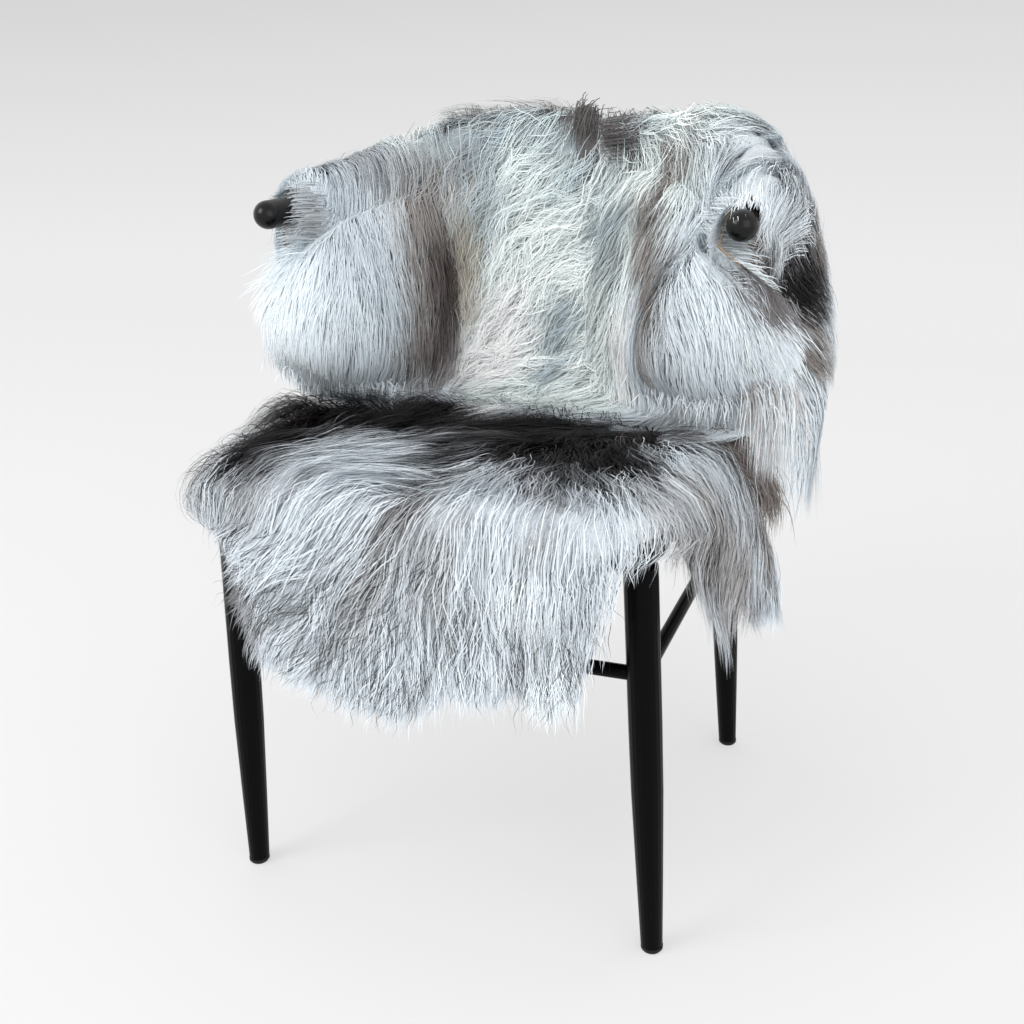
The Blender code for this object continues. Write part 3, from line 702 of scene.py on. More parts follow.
@dataclass(frozen=True)
class PictureView:
    """The camera, as the picture was taken."""

    place: tuple[float, float, float] = (0.4705, -1.1719, 0.8355)
    yaw: float = 0.3555
    pitch: float = 0.3587
    roll: float = -0.0192
    focal: float = 1189.65
    middle: Pair = (535.3, 522.6)
    sensor: float = 36.0

    def axes(self) -> tuple[Array, Array, Array]:
        """Right, up and backward: turned by yaw and pitch, then rolled about the line of sight."""
        back = np.array([math.sin(self.yaw) * math.cos(self.pitch),
                         -math.cos(self.yaw) * math.cos(self.pitch), math.sin(self.pitch)])
        right = np.array([math.cos(self.yaw), math.sin(self.yaw), 0.0])
        up = np.cross(back, right)
        c, s = math.cos(self.roll), math.sin(self.roll)
        return c * right + s * up, -s * right + c * up, back

    def pixels(self, points: Array) -> tuple[Array, Array]:
        """Pixels of points by central projection, and their depths."""
        right, up, back = self.axes()
        away = points - np.array(self.place)
        depth = -(away @ back)
        return np.stack([self.middle[0] + self.focal * (away @ right) / depth,
                         self.middle[1] - self.focal * (away @ up) / depth], axis=-1), depth

    def hold(self) -> None:
        """Places the camera."""
        right, up, back = self.axes()
        data = bpy.data.cameras.new("picture_view")
        camera = bpy.data.objects.new("picture_view", data)
        bpy.context.scene.collection.objects.link(camera)
        place = np.array(self.place) + CHAIR_MIDDLE
        rows = [[right[i], up[i], back[i], place[i]] for i in range(3)]
        camera.matrix_world = Matrix([*rows, [0.0, 0.0, 0.0, 1.0]])
        data.sensor_width = self.sensor
        data.lens = self.focal / PICTURE * self.sensor
        data.shift_x = (PICTURE / 2.0 - self.middle[0]) / PICTURE
        data.shift_y = (self.middle[1] - PICTURE / 2.0) / PICTURE
        data.clip_start = 0.02
        bpy.context.scene.camera = camera


@dataclass
class Groomer:
    """Finds where strokes lie on the skin, and blends them into directions and colours."""

    view: PictureView
    lap: Chart
    back: Chart
    seen: dict[Zone, tuple[Array, Array, Array]] = field(init=False)
    shown_depth: float = 0.8
    front_stations: Pair = (0.02, 1.6)
    behind_stations: Pair = (1.3, 2.95)
    near_pixels: float = 6.0
    pixel_play: float = 3.0
    metres_a_pixel: float = 0.004
    usual_weight: float = 0.10
    cover_gain: float = 1.35

    def __post_init__(self) -> None:
        """Keeps the points of each zone near the wool's outer side, with their pixels and depths."""
        stations = self.back.low[1] + self.back.step[1] * np.arange(self.back.points.shape[0])
        back = self.outside(self.back)
        zones = {
            Zone.LAP: self.outside(self.lap)[self.lap.worn],
            Zone.INNER: back[(stations > self.front_stations[0]) & (stations < self.front_stations[1])],
            Zone.BEHIND: back[(stations >= self.behind_stations[0]) & (stations < self.behind_stations[1])],
        }
        self.seen = {zone: (points.reshape(-1, 3), *self.view.pixels(points.reshape(-1, 3)))
                     for zone, points in zones.items()}

    def outside(self, chart: Chart) -> Array:
        """The chart's points moved out by most of the wool's depth, to where the wool shows."""
        return chart.points + chart.normals * chart.pile[..., None] * self.shown_depth

    def onto(self, zone: Zone, pixel: Pair) -> Array:
        """The point of a zone that shows at a pixel: the nearest to the camera among those close to it."""
        points, pixels, depth = self.seen[zone]
        gap = np.linalg.norm(pixels - np.array(pixel), axis=1)
        index = np.flatnonzero(gap < max(self.near_pixels, float(gap.min()) + self.pixel_play))
        return points[index[np.argmin(depth[index] + self.metres_a_pixel * gap[index])]]

    def ends(self, mark: Stroke | Tuft) -> tuple[Array, Array]:
        """The points of the skin at both ends of a stroke or a tuft."""
        return self.onto(mark.zone, mark.start), self.onto(mark.zone, mark.end)

    @staticmethod
    def nearness(points: Array, start: Array, end: Array, reach: float) -> Array:
        """A Gaussian of the distance from a line's stretch."""
        line = end - start
        share = np.clip(((points - start) @ line) / max(float(line @ line), 1e-9), 0.0, 1.0)
        gap = points - (start + share[..., None] * line)
        return np.exp(-(gap * gap).sum(-1) / (reach * reach))

    def comb(self, chart: Chart, usual: Array, strokes: tuple[Stroke, ...],
             held: dict[Zone, Array]) -> Array:
        """Directions of the wool over a chart.

        Args:
            chart: The patch of skin.
            usual: Directions where no stroke is near.
            strokes: Comb strokes.
            held: For each zone on the chart, how much its strokes count at each point.

        Returns:
            Unit directions along the skin: the sum of the usual one and every stroke's, by nearness.
        """
        total, points = usual * self.usual_weight, self.outside(chart)
        for stroke in strokes:
            if stroke.zone not in held:
                continue
            start, end = self.ends(stroke)
            weight = self.nearness(points, start, end, stroke.reach) * held[stroke.zone] * stroke.strength
            total = total + weight[..., None] * unit(end - start)
        total = total - chart.normals * (total * chart.normals).sum(-1, keepdims=True)
        return unit(total)

    def heap(self, chart: Chart, heaps: tuple[Stroke, ...], held: dict[Zone, Array]) -> Array:
        """How much deeper the wool is: the sum of the heaps' strengths, in metres, each by nearness."""
        points = self.outside(chart)
        return sum(self.nearness(points, *self.ends(heap), heap.reach) * held[heap.zone] * heap.strength
                   for heap in heaps)

    def tint(self, chart: Chart, base: Array, stains_and_shadows: tuple[Stroke, ...], held: dict[Zone, Array]) -> Array:
        """Display colours over a chart: each stained patch or painted shadow is laid over those before it,
        by nearness.
        """
        tint, points = base, self.outside(chart)
        for stain_or_shadow in stains_and_shadows:
            if stain_or_shadow.zone not in held:
                continue
            near = self.nearness(points, *self.ends(stain_or_shadow), stain_or_shadow.reach)
            cover = np.clip(self.cover_gain * near, 0.0, 1.0)
            cover = (cover * held[stain_or_shadow.zone] * stain_or_shadow.strength)[..., None]
            tint = tint * (1.0 - cover) + np.array(stain_or_shadow.shade.value) * cover
        return tint


def strokes(zone: Zone, **rows: tuple) -> tuple[Stroke, ...]:
    """Strokes of one zone: each keyword names one, with its start's and its end's pixels first."""
    return tuple(Stroke(name, zone, row[:2], row[2:4], *row[4:]) for name, row in rows.items())


def tufts(zone: Zone, **rows: tuple) -> tuple[Tuft, ...]:
    """Tufts of one zone, named in the same way."""
    return tuple(Tuft(name, zone, row[:2], row[2:4], *row[4:]) for name, row in rows.items())


LAP, INNER, BEHIND = Zone.LAP, Zone.INNER, Zone.BEHIND

COMB = strokes(
    INNER,
    left_lobe_by_the_arm=(321, 178, 301, 201, 0.025),
    left_lobe_under_the_arm=(312, 222, 282, 250, 0.018, 1.0),
    left_lobe_outer_top=(330, 200, 325, 300),
    left_lobe_outer_foot=(330, 300, 318, 385),
    left_lobe_rim=(290, 260, 280, 350, 0.040, 2.5),
    left_lobe_middle_top=(380, 200, 375, 300),
    left_lobe_middle_foot=(390, 300, 385, 375),
    left_lobe_inner_top=(420, 200, 418, 300),
    left_lobe_inner_foot=(430, 300, 425, 370),
    left_lobe_border=(455, 170, 450, 280, 0.025),
    back_top=(540, 160, 500, 190),
    top_rim_flow=(570, 98, 455, 112, 0.016, 1.6),
    top_upper_flow=(550, 130, 475, 142, 0.018, 1.0),
    top_curl=(445, 120, 475, 148, 0.012, 0.4),
    back_left=(500, 190, 490, 260),
    back_upper_sweep=(570, 200, 500, 230),
    back_swirl=(560, 175, 500, 200, 0.018, 1.2),
    back_middle_sweep=(600, 250, 520, 300),
    back_lower_sweep=(600, 330, 500, 380),
    back_foot_sweep=(550, 310, 480, 365),
    back_right_fall=(615, 300, 625, 390, 0.022),
    back_parting=(557, 322, 533, 390, 0.018),
    back_upright_tuft=(587, 118, 578, 165, 0.024, 2.0),
    back_level_tuft=(606, 126, 650, 131, 0.018),
    right_rim=(690, 115, 760, 105, 0.025),
    right_border_top=(660, 190, 635, 250, 0.025),
    right_border_middle=(637, 225, 636, 300, 0.025),
    right_border_foot=(645, 300, 655, 390, 0.025),
    right_lobe_fall=(700, 200, 690, 300),
    right_lobe_by_the_knob=(705, 212, 745, 235, 0.022, 3.0),
    right_lobe_along_the_slit=(725, 255, 785, 325, 0.020, 2.0),
    right_lobe_foot=(720, 300, 730, 390),
    right_lobe_outer_foot=(760, 330, 790, 400),
    right_lobe_shoulder=(770, 160, 800, 220),
    right_lobe_outer=(790, 220, 800, 280),
) + strokes(
    BEHIND,
    right_edge_top=(800, 290, 820, 330),
    right_edge_foot=(815, 350, 830, 390),
) + strokes(
    LAP,
    ridge_on_the_seat=(340, 395, 240, 430),
    ridge_end=(240, 430, 200, 470),
    ridge_slope=(300, 400, 220, 450),
    left_sweep_high=(400, 420, 260, 470),
    left_sweep_long=(420, 450, 230, 560),
    left_sweep_low=(380, 480, 250, 600),
    apron_left=(400, 520, 300, 650),
    apron_left_middle=(430, 560, 390, 700),
    apron_middle=(460, 500, 450, 700),
    apron_right_middle=(500, 500, 505, 700),
    apron_right=(560, 520, 560, 720),
    apron_right_edge=(600, 500, 590, 600),
    corner=(610, 480, 640, 540, 0.025),
    dark_band_left=(620, 420, 500, 430, 0.025),
    dark_band_right=(677, 418, 766, 444, 0.025),
    flap_left=(690, 480, 670, 600, 0.035, 2.2),
    flap_middle=(712, 480, 700, 600, 0.035, 1.0),
    flap_right=(745, 450, 742, 590, 0.035, 2.0),
    flap_rear=(785, 450, 762, 560, 0.035, 2.0),
    flap_shoulder=(800, 420, 820, 470),
)

STAINS_AND_SHADOWS = strokes(
    INNER,
    left_lobe_white=(285, 330, 300, 380, 0.040, 1.0, Shade.BRIGHT),
    left_lobe_grey_top=(345, 165, 445, 185, 0.034, 0.9, Shade.GREY),
    left_lobe_smoky_side=(425, 230, 420, 370, 0.030, 0.8, Shade.BROWN_GREY),
    left_lobe_smoky_foot=(395, 378, 435, 382, 0.010, 0.7, Shade.SMOKE),
    left_border_dark=(448, 270, 440, 380, 0.020, 0.85, Shade.DARK_BROWN),
    left_border_sand=(466, 230, 462, 330, 0.010, 0.9, Shade.SAND),
    back_white_foot=(500, 330, 470, 385, 0.030, 1.0, Shade.WHITE),
    back_white_right=(620, 340, 620, 395, 0.020, 1.0, Shade.WHITE),
    back_blue_parting=(556, 320, 535, 388, 0.014, 0.7, Shade.BLUE_GREY),
    back_grey_patch=(590, 270, 600, 300, 0.012, 0.8, Shade.GREY),
    top_rim_left=(445, 108, 570, 98, 0.016, 1.0, Shade.BROWN_GREY),
    back_top_blue=(450, 125, 640, 125, 0.034, 0.62, Shade.BLUE_GREY),
    back_upper_left_blue=(478, 165, 480, 240, 0.016, 0.5, Shade.BLUE_GREY),
    back_curl_blue=(530, 178, 575, 205, 0.014, 0.5, Shade.BLUE_GREY),
    back_right_blue=(590, 225, 605, 300, 0.014, 0.65, Shade.BLUE_GREY),
    dark_tuft_upright=(588, 128, 580, 170, 0.013, 1.0, Shade.SMOKE),
    dark_tuft_level=(612, 126, 645, 130, 0.011, 1.0, Shade.SMOKE),
    dark_tuft_low=(612, 150, 632, 158, 0.012, 1.0, Shade.SMOKE),
    right_border_top=(665, 185, 636, 240, 0.014, 0.9, Shade.BROWN_GREY),
    right_border_middle=(636, 240, 645, 330, 0.014, 0.9, Shade.BROWN_GREY),
    right_border_foot=(645, 330, 650, 395, 0.014, 0.9, Shade.BROWN_GREY),
    right_border_dark=(650, 230, 655, 300, 0.008, 0.9, Shade.SMOKE),
    right_lobe_rim=(700, 160, 790, 165, 0.014, 0.8, Shade.GREY),
    right_lobe_white=(740, 350, 790, 420, 0.035, 0.9, Shade.BRIGHT),
    right_slit_dark=(768, 290, 790, 325, 0.010, 0.6, Shade.DARK_BROWN),
    corner_dark_right=(510, 404, 600, 412, 0.010, 1.0, Shade.BLACK),
) + strokes(
    BEHIND,
    right_edge_grey=(815, 200, 825, 280, 0.020, 0.9, Shade.BROWN_GREY),
    right_edge_dark=(795, 285, 822, 310, 0.022, 1.0, Shade.BLACK),
    right_edge_foot=(800, 350, 828, 390, 0.020, 0.9, Shade.BROWN_GREY),
) + strokes(
    LAP,
    ridge_black=(290, 408, 430, 402, 0.046, 1.0, Shade.BLACK),
    ridge_black_slope=(210, 468, 300, 420, 0.036, 1.0, Shade.BLACK),
    ridge_black_front=(280, 425, 420, 425, 0.034, 1.0, Shade.BLACK),
    ridge_brown=(290, 430, 240, 440, 0.014, 0.4, Shade.DARK_BROWN),
    band_black_left=(440, 425, 560, 428, 0.044, 1.0, Shade.BLACK),
    band_black_middle=(510, 446, 615, 456, 0.052, 1.0, Shade.BLACK),
    band_black_right=(580, 432, 660, 432, 0.046, 1.0, Shade.BLACK),
    band_black_fringe=(560, 468, 625, 468, 0.026, 1.0, Shade.BLACK),
    band_mixed=(655, 410, 745, 425, 0.030, 0.9, Shade.SMOKE),
    band_black_by_the_border=(665, 402, 690, 410, 0.026, 1.0, Shade.BLACK),
    band_brown=(740, 420, 780, 450, 0.022, 0.9, Shade.DARK_BROWN),
    # Painted shadow: the dark streak down the parting of the lap's wool, darkest at its top.
    parting_high=(440, 445, 400, 500, 0.014, 1.0, Shade.BLACK),
    parting_low=(400, 500, 370, 560, 0.016, 0.8, Shade.SMOKE),
    parting_foot=(365, 580, 350, 640, 0.014, 0.45, Shade.BROWN_GREY),
    left_sweep_smoky=(300, 470, 235, 530, 0.012, 0.5, Shade.SMOKE),
    apron_streak=(455, 510, 430, 620, 0.012, 0.4, Shade.BROWN_GREY),
    corner_streak=(545, 480, 535, 560, 0.012, 0.45, Shade.SMOKE),
    apron_left_dark_rim=(225, 570, 245, 640, 0.014, 0.7, Shade.SMOKE),
    apron_bright=(520, 600, 545, 720, 0.022, 0.9, Shade.BRIGHT),
    flap=(700, 520, 740, 590, 0.045, 0.9, Shade.LIGHT_TAUPE),
    flap_light=(670, 450, 700, 520, 0.020, 0.9, Shade.LIGHT_GREY),
    flap_dark=(740, 450, 770, 560, 0.022, 0.9, Shade.BROWN_GREY),
    corner_pale=(630, 500, 650, 520, 0.018, 0.9, Shade.LIGHT_GREY),
    white_wedge=(448, 396, 492, 410, 0.011, 0.9, Shade.WHITE),
    left_tip_pale=(205, 480, 200, 495, 0.020, 0.9, Shade.PALE_BLUE),
)

HEAPS = strokes(
    LAP,
    ridge=(290, 412, 420, 402, 0.042, 0.021),
    ridge_shoulder=(230, 455, 290, 420, 0.030, 0.008),
)

TUFTS = tufts(
    INNER,
    left_of_right_arm=(716, 212, 718, 258, 0.030, -0.006, 450, Shade.LIGHT_GREY, -0.003),
    under_the_right_arm=(722, 256, 748, 284, 0.022, -0.008, 350, Shade.LIGHT_GREY),
    under_the_left_arm=(318, 200, 312, 250, -0.034, -0.008, 400, Shade.PALE_BLUE),
    over_the_left_arm=(316, 196, 318, 236, -0.026, -0.004, 260, Shade.GREY, 0.020),
    left_lobe_fringe=(292, 372, 392, 384, -0.002, -0.026, 600, Shade.PALE_BLUE, 0.002),
    right_lobe_fringe=(655, 392, 735, 396, 0.004, -0.030, 420, Shade.LIGHT_GREY, 0.002),
    dark_tuft_upright=(576, 108, 600, 112, -0.008, -0.048, 260, Shade.SMOKE, 0.000),
    dark_tuft_level=(604, 124, 612, 150, 0.036, 0.004, 180, Shade.SMOKE, 0.002),
    skirt_under_the_right_lobe=(754, 385, 804, 395, 0.010, -0.096, 650, Shade.LIGHT_GREY),
    skirt_shade=(750, 388, 804, 395, 0.012, -0.098, 350, Shade.LIGHT_TAUPE),
) + tufts(
    LAP,
    flap_shoulder_pale=(728, 425, 752, 462, 0.034, -0.070, 250, Shade.LIGHT_TAUPE),
    flap_shoulder=(722, 420, 750, 466, 0.038, -0.076, 700, Shade.BROWN_GREY),
)


class Wool(Enum):
    """Names of the wool's pieces."""

    SEAT_LEFT = "wool_seat_left"
    SEAT_RIGHT = "wool_seat_right"
    APRON_LEFT = "wool_apron_left"
    APRON_RIGHT = "wool_apron_right"
    FLAP = "wool_flap"
    BACK = "wool_back"
    LOBE_LEFT = "wool_lobe_left"
    LOBE_RIGHT = "wool_lobe_right"
    BEHIND = "wool_behind"
    GUARD = "guard_hairs"
    TUFTS = "edge_tufts"


def put(name: str, points: Array, faces: list[Array], material: Material) -> Piece:
    """A smooth-shaded piece from arrays, moved from the chair's middle to the frame.

    Args:
        name: The piece's name.
        points: Vertices.
        faces: Arrays of vertex indices, one array for each number of corners.
        material: Its finish.

    Returns:
        The piece's object, at the origin.
    """
    mesh = bpy.data.meshes.new(name)
    corners = np.concatenate([block.ravel() for block in faces])
    sizes = np.concatenate([np.full(len(block), block.shape[1]) for block in faces])
    mesh.vertices.add(len(points))
    mesh.vertices.foreach_set("co", (points + CHAIR_MIDDLE).astype(np.float32).ravel())
    mesh.loops.add(len(corners))
    mesh.loops.foreach_set("vertex_index", corners.astype(np.int32))
    mesh.polygons.add(len(sizes))
    mesh.polygons.foreach_set("loop_start", np.concatenate([[0], np.cumsum(sizes)[:-1]]).astype(np.int32))
    mesh.update(calc_edges=True)
    mesh.shade_smooth()
    mesh.materials.append(material)
    piece = bpy.data.objects.new(name, mesh)
    bpy.context.scene.collection.objects.link(piece)
    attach(piece, BODY)
    return piece


def paint(piece: Piece, colours: Array) -> None:
    """Keeps a colour at each vertex."""
    layer = piece.data.attributes.new("wool_colour", "FLOAT_COLOR", "POINT")
    rgba = np.concatenate([colours, np.ones((len(colours), 1))], axis=1)
    layer.data.foreach_set("color", rgba.astype(np.float32).ravel())


@dataclass(frozen=True)
class Growth:
    """How the wool of one area grows, with lengths in metres.

    `lowest` is the least share of the wool's depth that a lock has, `loose` how far a hair leaves a skin
    that curves away under it, `free` how far off it may hang, `soft` how much it is shaded as the skin and
    not as a flat ribbon, and `twist` the most that a ribbon turns. A pair is a least and a most.
    """

    hairs: int
    points: int
    spread: float
    width: float
    gather: float
    wave: float
    wave_length: float
    dark_share: float
    dark: Pair = (0.30, 0.65)
    stray: float = 0.10
    lowest: float = 0.45
    start: float = 0.30
    loose: float = 0.75
    free: float = 0.035
    soft: float = 0.80
    tone: float = 0.045
    # Painted shade at a hair's root and painted light at its tip, as brightness factors along it.
    root_painted_shade: float = 0.74
    tip_painted_light: float = 1.04
    twist: float = 0.50
    wave_lengths: Pair = (0.8, 1.25)
    wave_sizes: Pair = (0.5, 1.4)
    wave_from: float = 0.02
    wave_slip: float = 0.5
    hair_lean: float = 0.06
    hair_lengths: Pair = (0.72, 1.08)
    hair_rises: Pair = (0.8, 1.06)
    proud_share: float = 0.015
    proud_rise: float = 1.12
    pulls: Pair = (0.4, 1.0)
    pull_power: float = 1.3
    widths: Pair = (0.7, 1.25)
    dark_width: float = 0.75
    longest_step: float = 2.2
    step_play: float = 0.002


def taper(t: Array) -> Array:
    """Width of a hair along its length: whole up to a little past its middle, then down to a quarter."""
    return np.clip((1.0 - t) / 0.45, 0.25, 1.0)


def root_shadow(t: Array, root: float, tip: float) -> Array:
    """Painted shade along a hair: its brightness goes straight from its root's to its tip's, which it has
    from half way up.
    """
    return root + (tip - root) * np.minimum(t / 0.5, 1.0)


@dataclass
class Strands:
    """Combed hairs as ribbons: middle lines, ways across and out, widths and colours along each."""

    line: Array
    across: Array
    out: Array
    width: Array
    colour: Array

    def mesh(self, name: str, material: Material) -> Piece:
        """A ribbon for each hair: pairs of points half a width to either side of its line, and a tip."""
        count, length = self.line.shape[:2]
        half = self.across * self.width[..., None] / 2.0
        pair = np.stack([self.line - half, self.line + half], axis=2)[:, :-1].reshape(count, -1, 3)
        points = np.concatenate([pair, self.line[:, -1:]], axis=1)
        out, colour = self.doubled(self.out), self.doubled(self.colour)
        each = points.shape[1]
        base = each * np.arange(count)[:, None, None]
        steps = 2 * np.arange(length - 2)[:, None]
        quads = (base + steps + np.array([0, 1, 3, 2])).reshape(-1, 4)
        tips = (base + np.array([[each - 3, each - 2, each - 1]])).reshape(-1, 3)
        piece = put(name, points.reshape(-1, 3), [quads, tips], material)
        paint(piece, colour.reshape(-1, 3))
        piece.data.normals_split_custom_set_from_vertices(out.reshape(-1, 3).astype(np.float32))
        self.lay_out(piece, count, each, quads, tips)
        LOG.info("%s: %d hairs, %d triangles", name, count, count * (2 * length - 3))
        return piece

    @staticmethod
    def doubled(values: Array) -> Array:
        """Values along the middle lines, given to both points of each pair and to the tip."""
        return np.concatenate([np.repeat(values[:, :-1], 2, axis=1), values[:, -1:]], axis=1)

    @staticmethod
    def lay_out(piece: Piece, count: int, each: int, quads: Array, tips: Array) -> None:
        """Gives every hair its own cell of a square map, with its root low and its tip high."""
        side = math.ceil(math.sqrt(count))
        vertex = np.concatenate([quads.ravel(), tips.ravel()])
        hair, place = vertex // each, vertex % each
        across = np.where(place == each - 1, 0.5, 0.25 + 0.5 * (place % 2))
        up = 0.15 + 0.7 * (place // 2) / ((each - 1) / 2.0)
        cell = np.stack([hair % side + across, hair // side + up], axis=1) / side
        piece.data.uv_layers.new(name="OFBake").data.foreach_set("uv", cell.astype(np.float32).ravel())


@dataclass(frozen=True)
class Walk:
    """Paths of hairs' feet: points, ways out and along, the wool's depth, and the place that shows most."""

    feet: Array
    out: Array
    way: Array
    depth: Array
    key: Array


@dataclass
class Locks:
    """Locks of one growth: each one's lean, height, tone and wave, and the lock that each hair is in."""

    growth: Growth
    count: int
    rng: Random

    def __post_init__(self) -> None:
        """Draws each lock's values at random."""
        growth, count, rng = self.growth, self.count, self.rng
        self.lean = rng.normal(0.0, growth.stray, count)
        self.rise = growth.lowest + (1.0 - growth.lowest) * rng.random(count)
        self.tone = 1.0 + rng.normal(0.0, growth.tone, count)
        self.phase = rng.random(count) * TAU
        self.pitch = growth.wave_length * rng.uniform(*growth.wave_lengths, count)
        self.own = np.repeat(np.arange(count), growth.hairs)

    def swing(self, walk: Walk, gone: Array) -> Array:
        """Sideways moves of hairs: a sine of the distance gone, in step within a lock but for a slip."""
        growth, hairs = self.growth, len(self.own)
        across = unit(np.cross(walk.way, walk.out))
        turn = TAU * gone / self.pitch[self.own][:, None] + self.phase[self.own][:, None]
        swing = np.sin(turn + self.rng.normal(0.0, growth.wave_slip, hairs)[:, None])
        amount = (growth.wave * self.rng.uniform(*growth.wave_sizes, hairs))[:, None]
        return across * (swing * (amount * np.minimum(gone / growth.wave_from, 1.0)))[..., None]

    def dyed(self, tint: Array) -> tuple[Array, Array]:
        """Light along each hair from its lock's display colour, with painted shade towards the root, and
        which hairs are dark.
        """
        growth, hairs = self.growth, len(self.own)
        tone = self.tone[self.own] * (1.0 + self.rng.normal(0.0, growth.tone, hairs))
        colour = tint[self.own] * tone[:, None]
        dark = self.rng.random(hairs) < growth.dark_share
        colour = np.where(dark[:, None], colour * self.rng.uniform(*growth.dark, hairs)[:, None], colour)
        # Painted shade: each hair is darker towards its root.
        shadow = root_shadow(np.linspace(0.0, 1.0, growth.points), growth.root_painted_shade, growth.tip_painted_light)
        return linear(np.clip(colour[:, None, :] * shadow[None, :, None], 0.0, BRIGHTEST)), dark


@dataclass
class Coat:
    """The wool that grows on one chart."""

    chart: Chart
    comb: Array
    tint: Array
    least_depth: float = 0.004
    shown_at: float = 0.72
    steep: float = 4.0
    turn_down: float = 0.8
    droop: float = 0.15
    let_go: Step = Step(0.0, 0.012)

    def grow(self, growth: Growth, roots: Array, lengths: Array, seed: int) -> Strands:
        """Grows locks of hair.

        Each hair's foot walks along the skin in the comb's direction, and the hair stands over its foot by a
        share of the wool's depth that rises as 1 - e to the power -4t. Where the skin curves away, the hair
        hangs instead. Hairs of a lock draw near its middle one towards their tips, and swing as one wave. A
        hair with a step much longer than the others has left a sharp turn of the skin and is dropped.

        Args:
            growth: Counts and unevenness.
            roots: Parameters of each lock's root.
            lengths: Length of each lock.
            seed: Number that the area's unevenness starts from.

        Returns:
            The hairs.
        """
        rng, t = np.random.default_rng(seed), np.linspace(0.0, 1.0, growth.points)
        locks = Locks(growth, len(roots), rng)
        lead = self.path(roots, lengths, locks.lean, growth.points)
        middle = self.lifted(lead, lengths, locks.rise, growth)

        own, count = locks.own, len(locks.own)
        starts = self.beside(roots[own], growth.spread, rng)
        span = lengths[own] * rng.uniform(*growth.hair_lengths, count)
        lean = locks.lean[own] + rng.normal(0.0, growth.hair_lean, count)
        walk = self.path(starts, span, lean, growth.points)
        share = np.minimum(locks.rise[own] * rng.uniform(*growth.hair_rises, count), 1.0)
        share = np.where(rng.random(count) < growth.proud_share, growth.proud_rise, share)
        line = self.lifted(walk, span, share, growth)
        pull = (growth.gather * rng.uniform(*growth.pulls, count))[:, None] * t ** growth.pull_power
        line = line + (middle[own] - line) * pull[..., None]
        line = line + locks.swing(walk, span[:, None] * t)

        along = unit(np.gradient(line, axis=1))
        out = unit(walk.out - along * (walk.out * along).sum(-1, keepdims=True))
        roll = rng.uniform(-growth.twist, growth.twist, count)[:, None, None]
        across = unit(np.cross(along, out) * np.cos(roll) + out * np.sin(roll))
        facing = unit((1.0 - growth.soft) * np.cross(across, along) + growth.soft * walk.out)
        colour, dark = locks.dyed(self.chart.read(self.tint, self.chart.inside(lead.key)))
        thick = growth.width * rng.uniform(*growth.widths, count) * np.where(dark, growth.dark_width, 1.0)
        width = thick[:, None] * taper(t)

        longest = np.linalg.norm(np.diff(line, axis=1), axis=-1).max(axis=1)
        sound = longest < growth.longest_step * span / (growth.points - 1) + growth.step_play
        return Strands(line[sound], across[sound], facing[sound], width[sound], colour[sound])

    def beside(self, roots: Array, spread: float, rng: Random) -> Array:
        """Roots moved along the skin, each in a random direction by a distance of a Gaussian spread."""
        turn = rng.random(len(roots)) * TAU
        apart = spread * np.sqrt(-np.log(np.maximum(rng.random(len(roots)), 1e-6)))
        a, b = self.frame_at(roots)
        return self.chart.walk(roots, np.cos(turn)[:, None] * a + np.sin(turn)[:, None] * b, apart)

    def lifted(self, walk: Walk, lengths: Array, share: Array, growth: Growth) -> Array:
        """Hairs over their feet.

        A hanging hair leaves its root in the walk's first direction and turns down evenly. Where it runs
        higher over the skin than the lying hair does, the hair takes its line instead, by a smooth step.

        Args:
            walk: The feet.
            lengths: Length of each hair.
            share: Share of the wool's depth that each hair reaches.
            growth: Its starting height and looseness.

        Returns:
            Points of the hairs.
        """
        t = np.linspace(0.0, 1.0, growth.points)
        risen = (1.0 - growth.start) * (1.0 - np.exp(-self.steep * t)) / (1.0 - math.exp(-self.steep))
        height = (growth.start + risen) * share[:, None] * walk.depth
        lying = walk.feet + walk.out * height[..., None]
        down = np.array([0.0, 0.0, -1.0]) * (self.turn_down * t + self.droop)[None, :, None]
        way = unit(walk.way[:, :1] * (1.0 - self.turn_down * t)[None, :, None] + down)
        steps = way * (lengths / (growth.points - 1))[:, None, None]
        hanging = lying[:, :1] + np.cumsum(steps, axis=1) - steps[:, :1]
        over = ((hanging - walk.feet) * walk.out).sum(-1) - height
        held = np.clip(growth.free / np.maximum(over, 1e-6), 0.0, 1.0)
        return lying + (hanging - lying) * (growth.loose * self.let_go.at(over) * held)[..., None]

    def frame_at(self, at: Array) -> tuple[Array, Array]:
        """Two unit directions along the skin at right angles to each other."""
        held = self.chart.inside(at)
        a = unit(self.chart.read(self.chart.across, held))
        return a, np.cross(unit(self.chart.read(self.chart.normals, held)), a)

    def path(self, roots: Array, lengths: Array, lean: Array, points: int) -> Walk:
        """Feet of hairs as they walk in the comb's direction, turned by a lean.

        Args:
            roots: Parameters to start from.
            lengths: Distances to go.
            lean: Angles to turn the direction by.
            points: How many feet each hair has.

        Returns:
            The walk.
        """
        at, key, feet, outs, ways, depths = roots, roots, [], [], [], []
        stride = lengths / (points - 1)
        for step in range(points):
            held = self.chart.inside(at)
            out = unit(self.chart.read(self.chart.normals, held))
            way = self.chart.read(self.comb, held)
            way = unit(way - out * (way * out).sum(-1, keepdims=True))
            way = way * np.cos(lean)[:, None] + np.cross(out, way) * np.sin(lean)[:, None]
            feet.append(self.chart.read(self.chart.points, at))
            outs.append(out)
            ways.append(way)
            depths.append(np.maximum(self.chart.read(self.chart.pile, held), self.least_depth))
            if step == round(self.shown_at * (points - 1)):
                key = at
            at = self.chart.walk(at, way, stride)
        return Walk(*(np.stack(rows, axis=1) for rows in (feet, outs, ways, depths)), key)


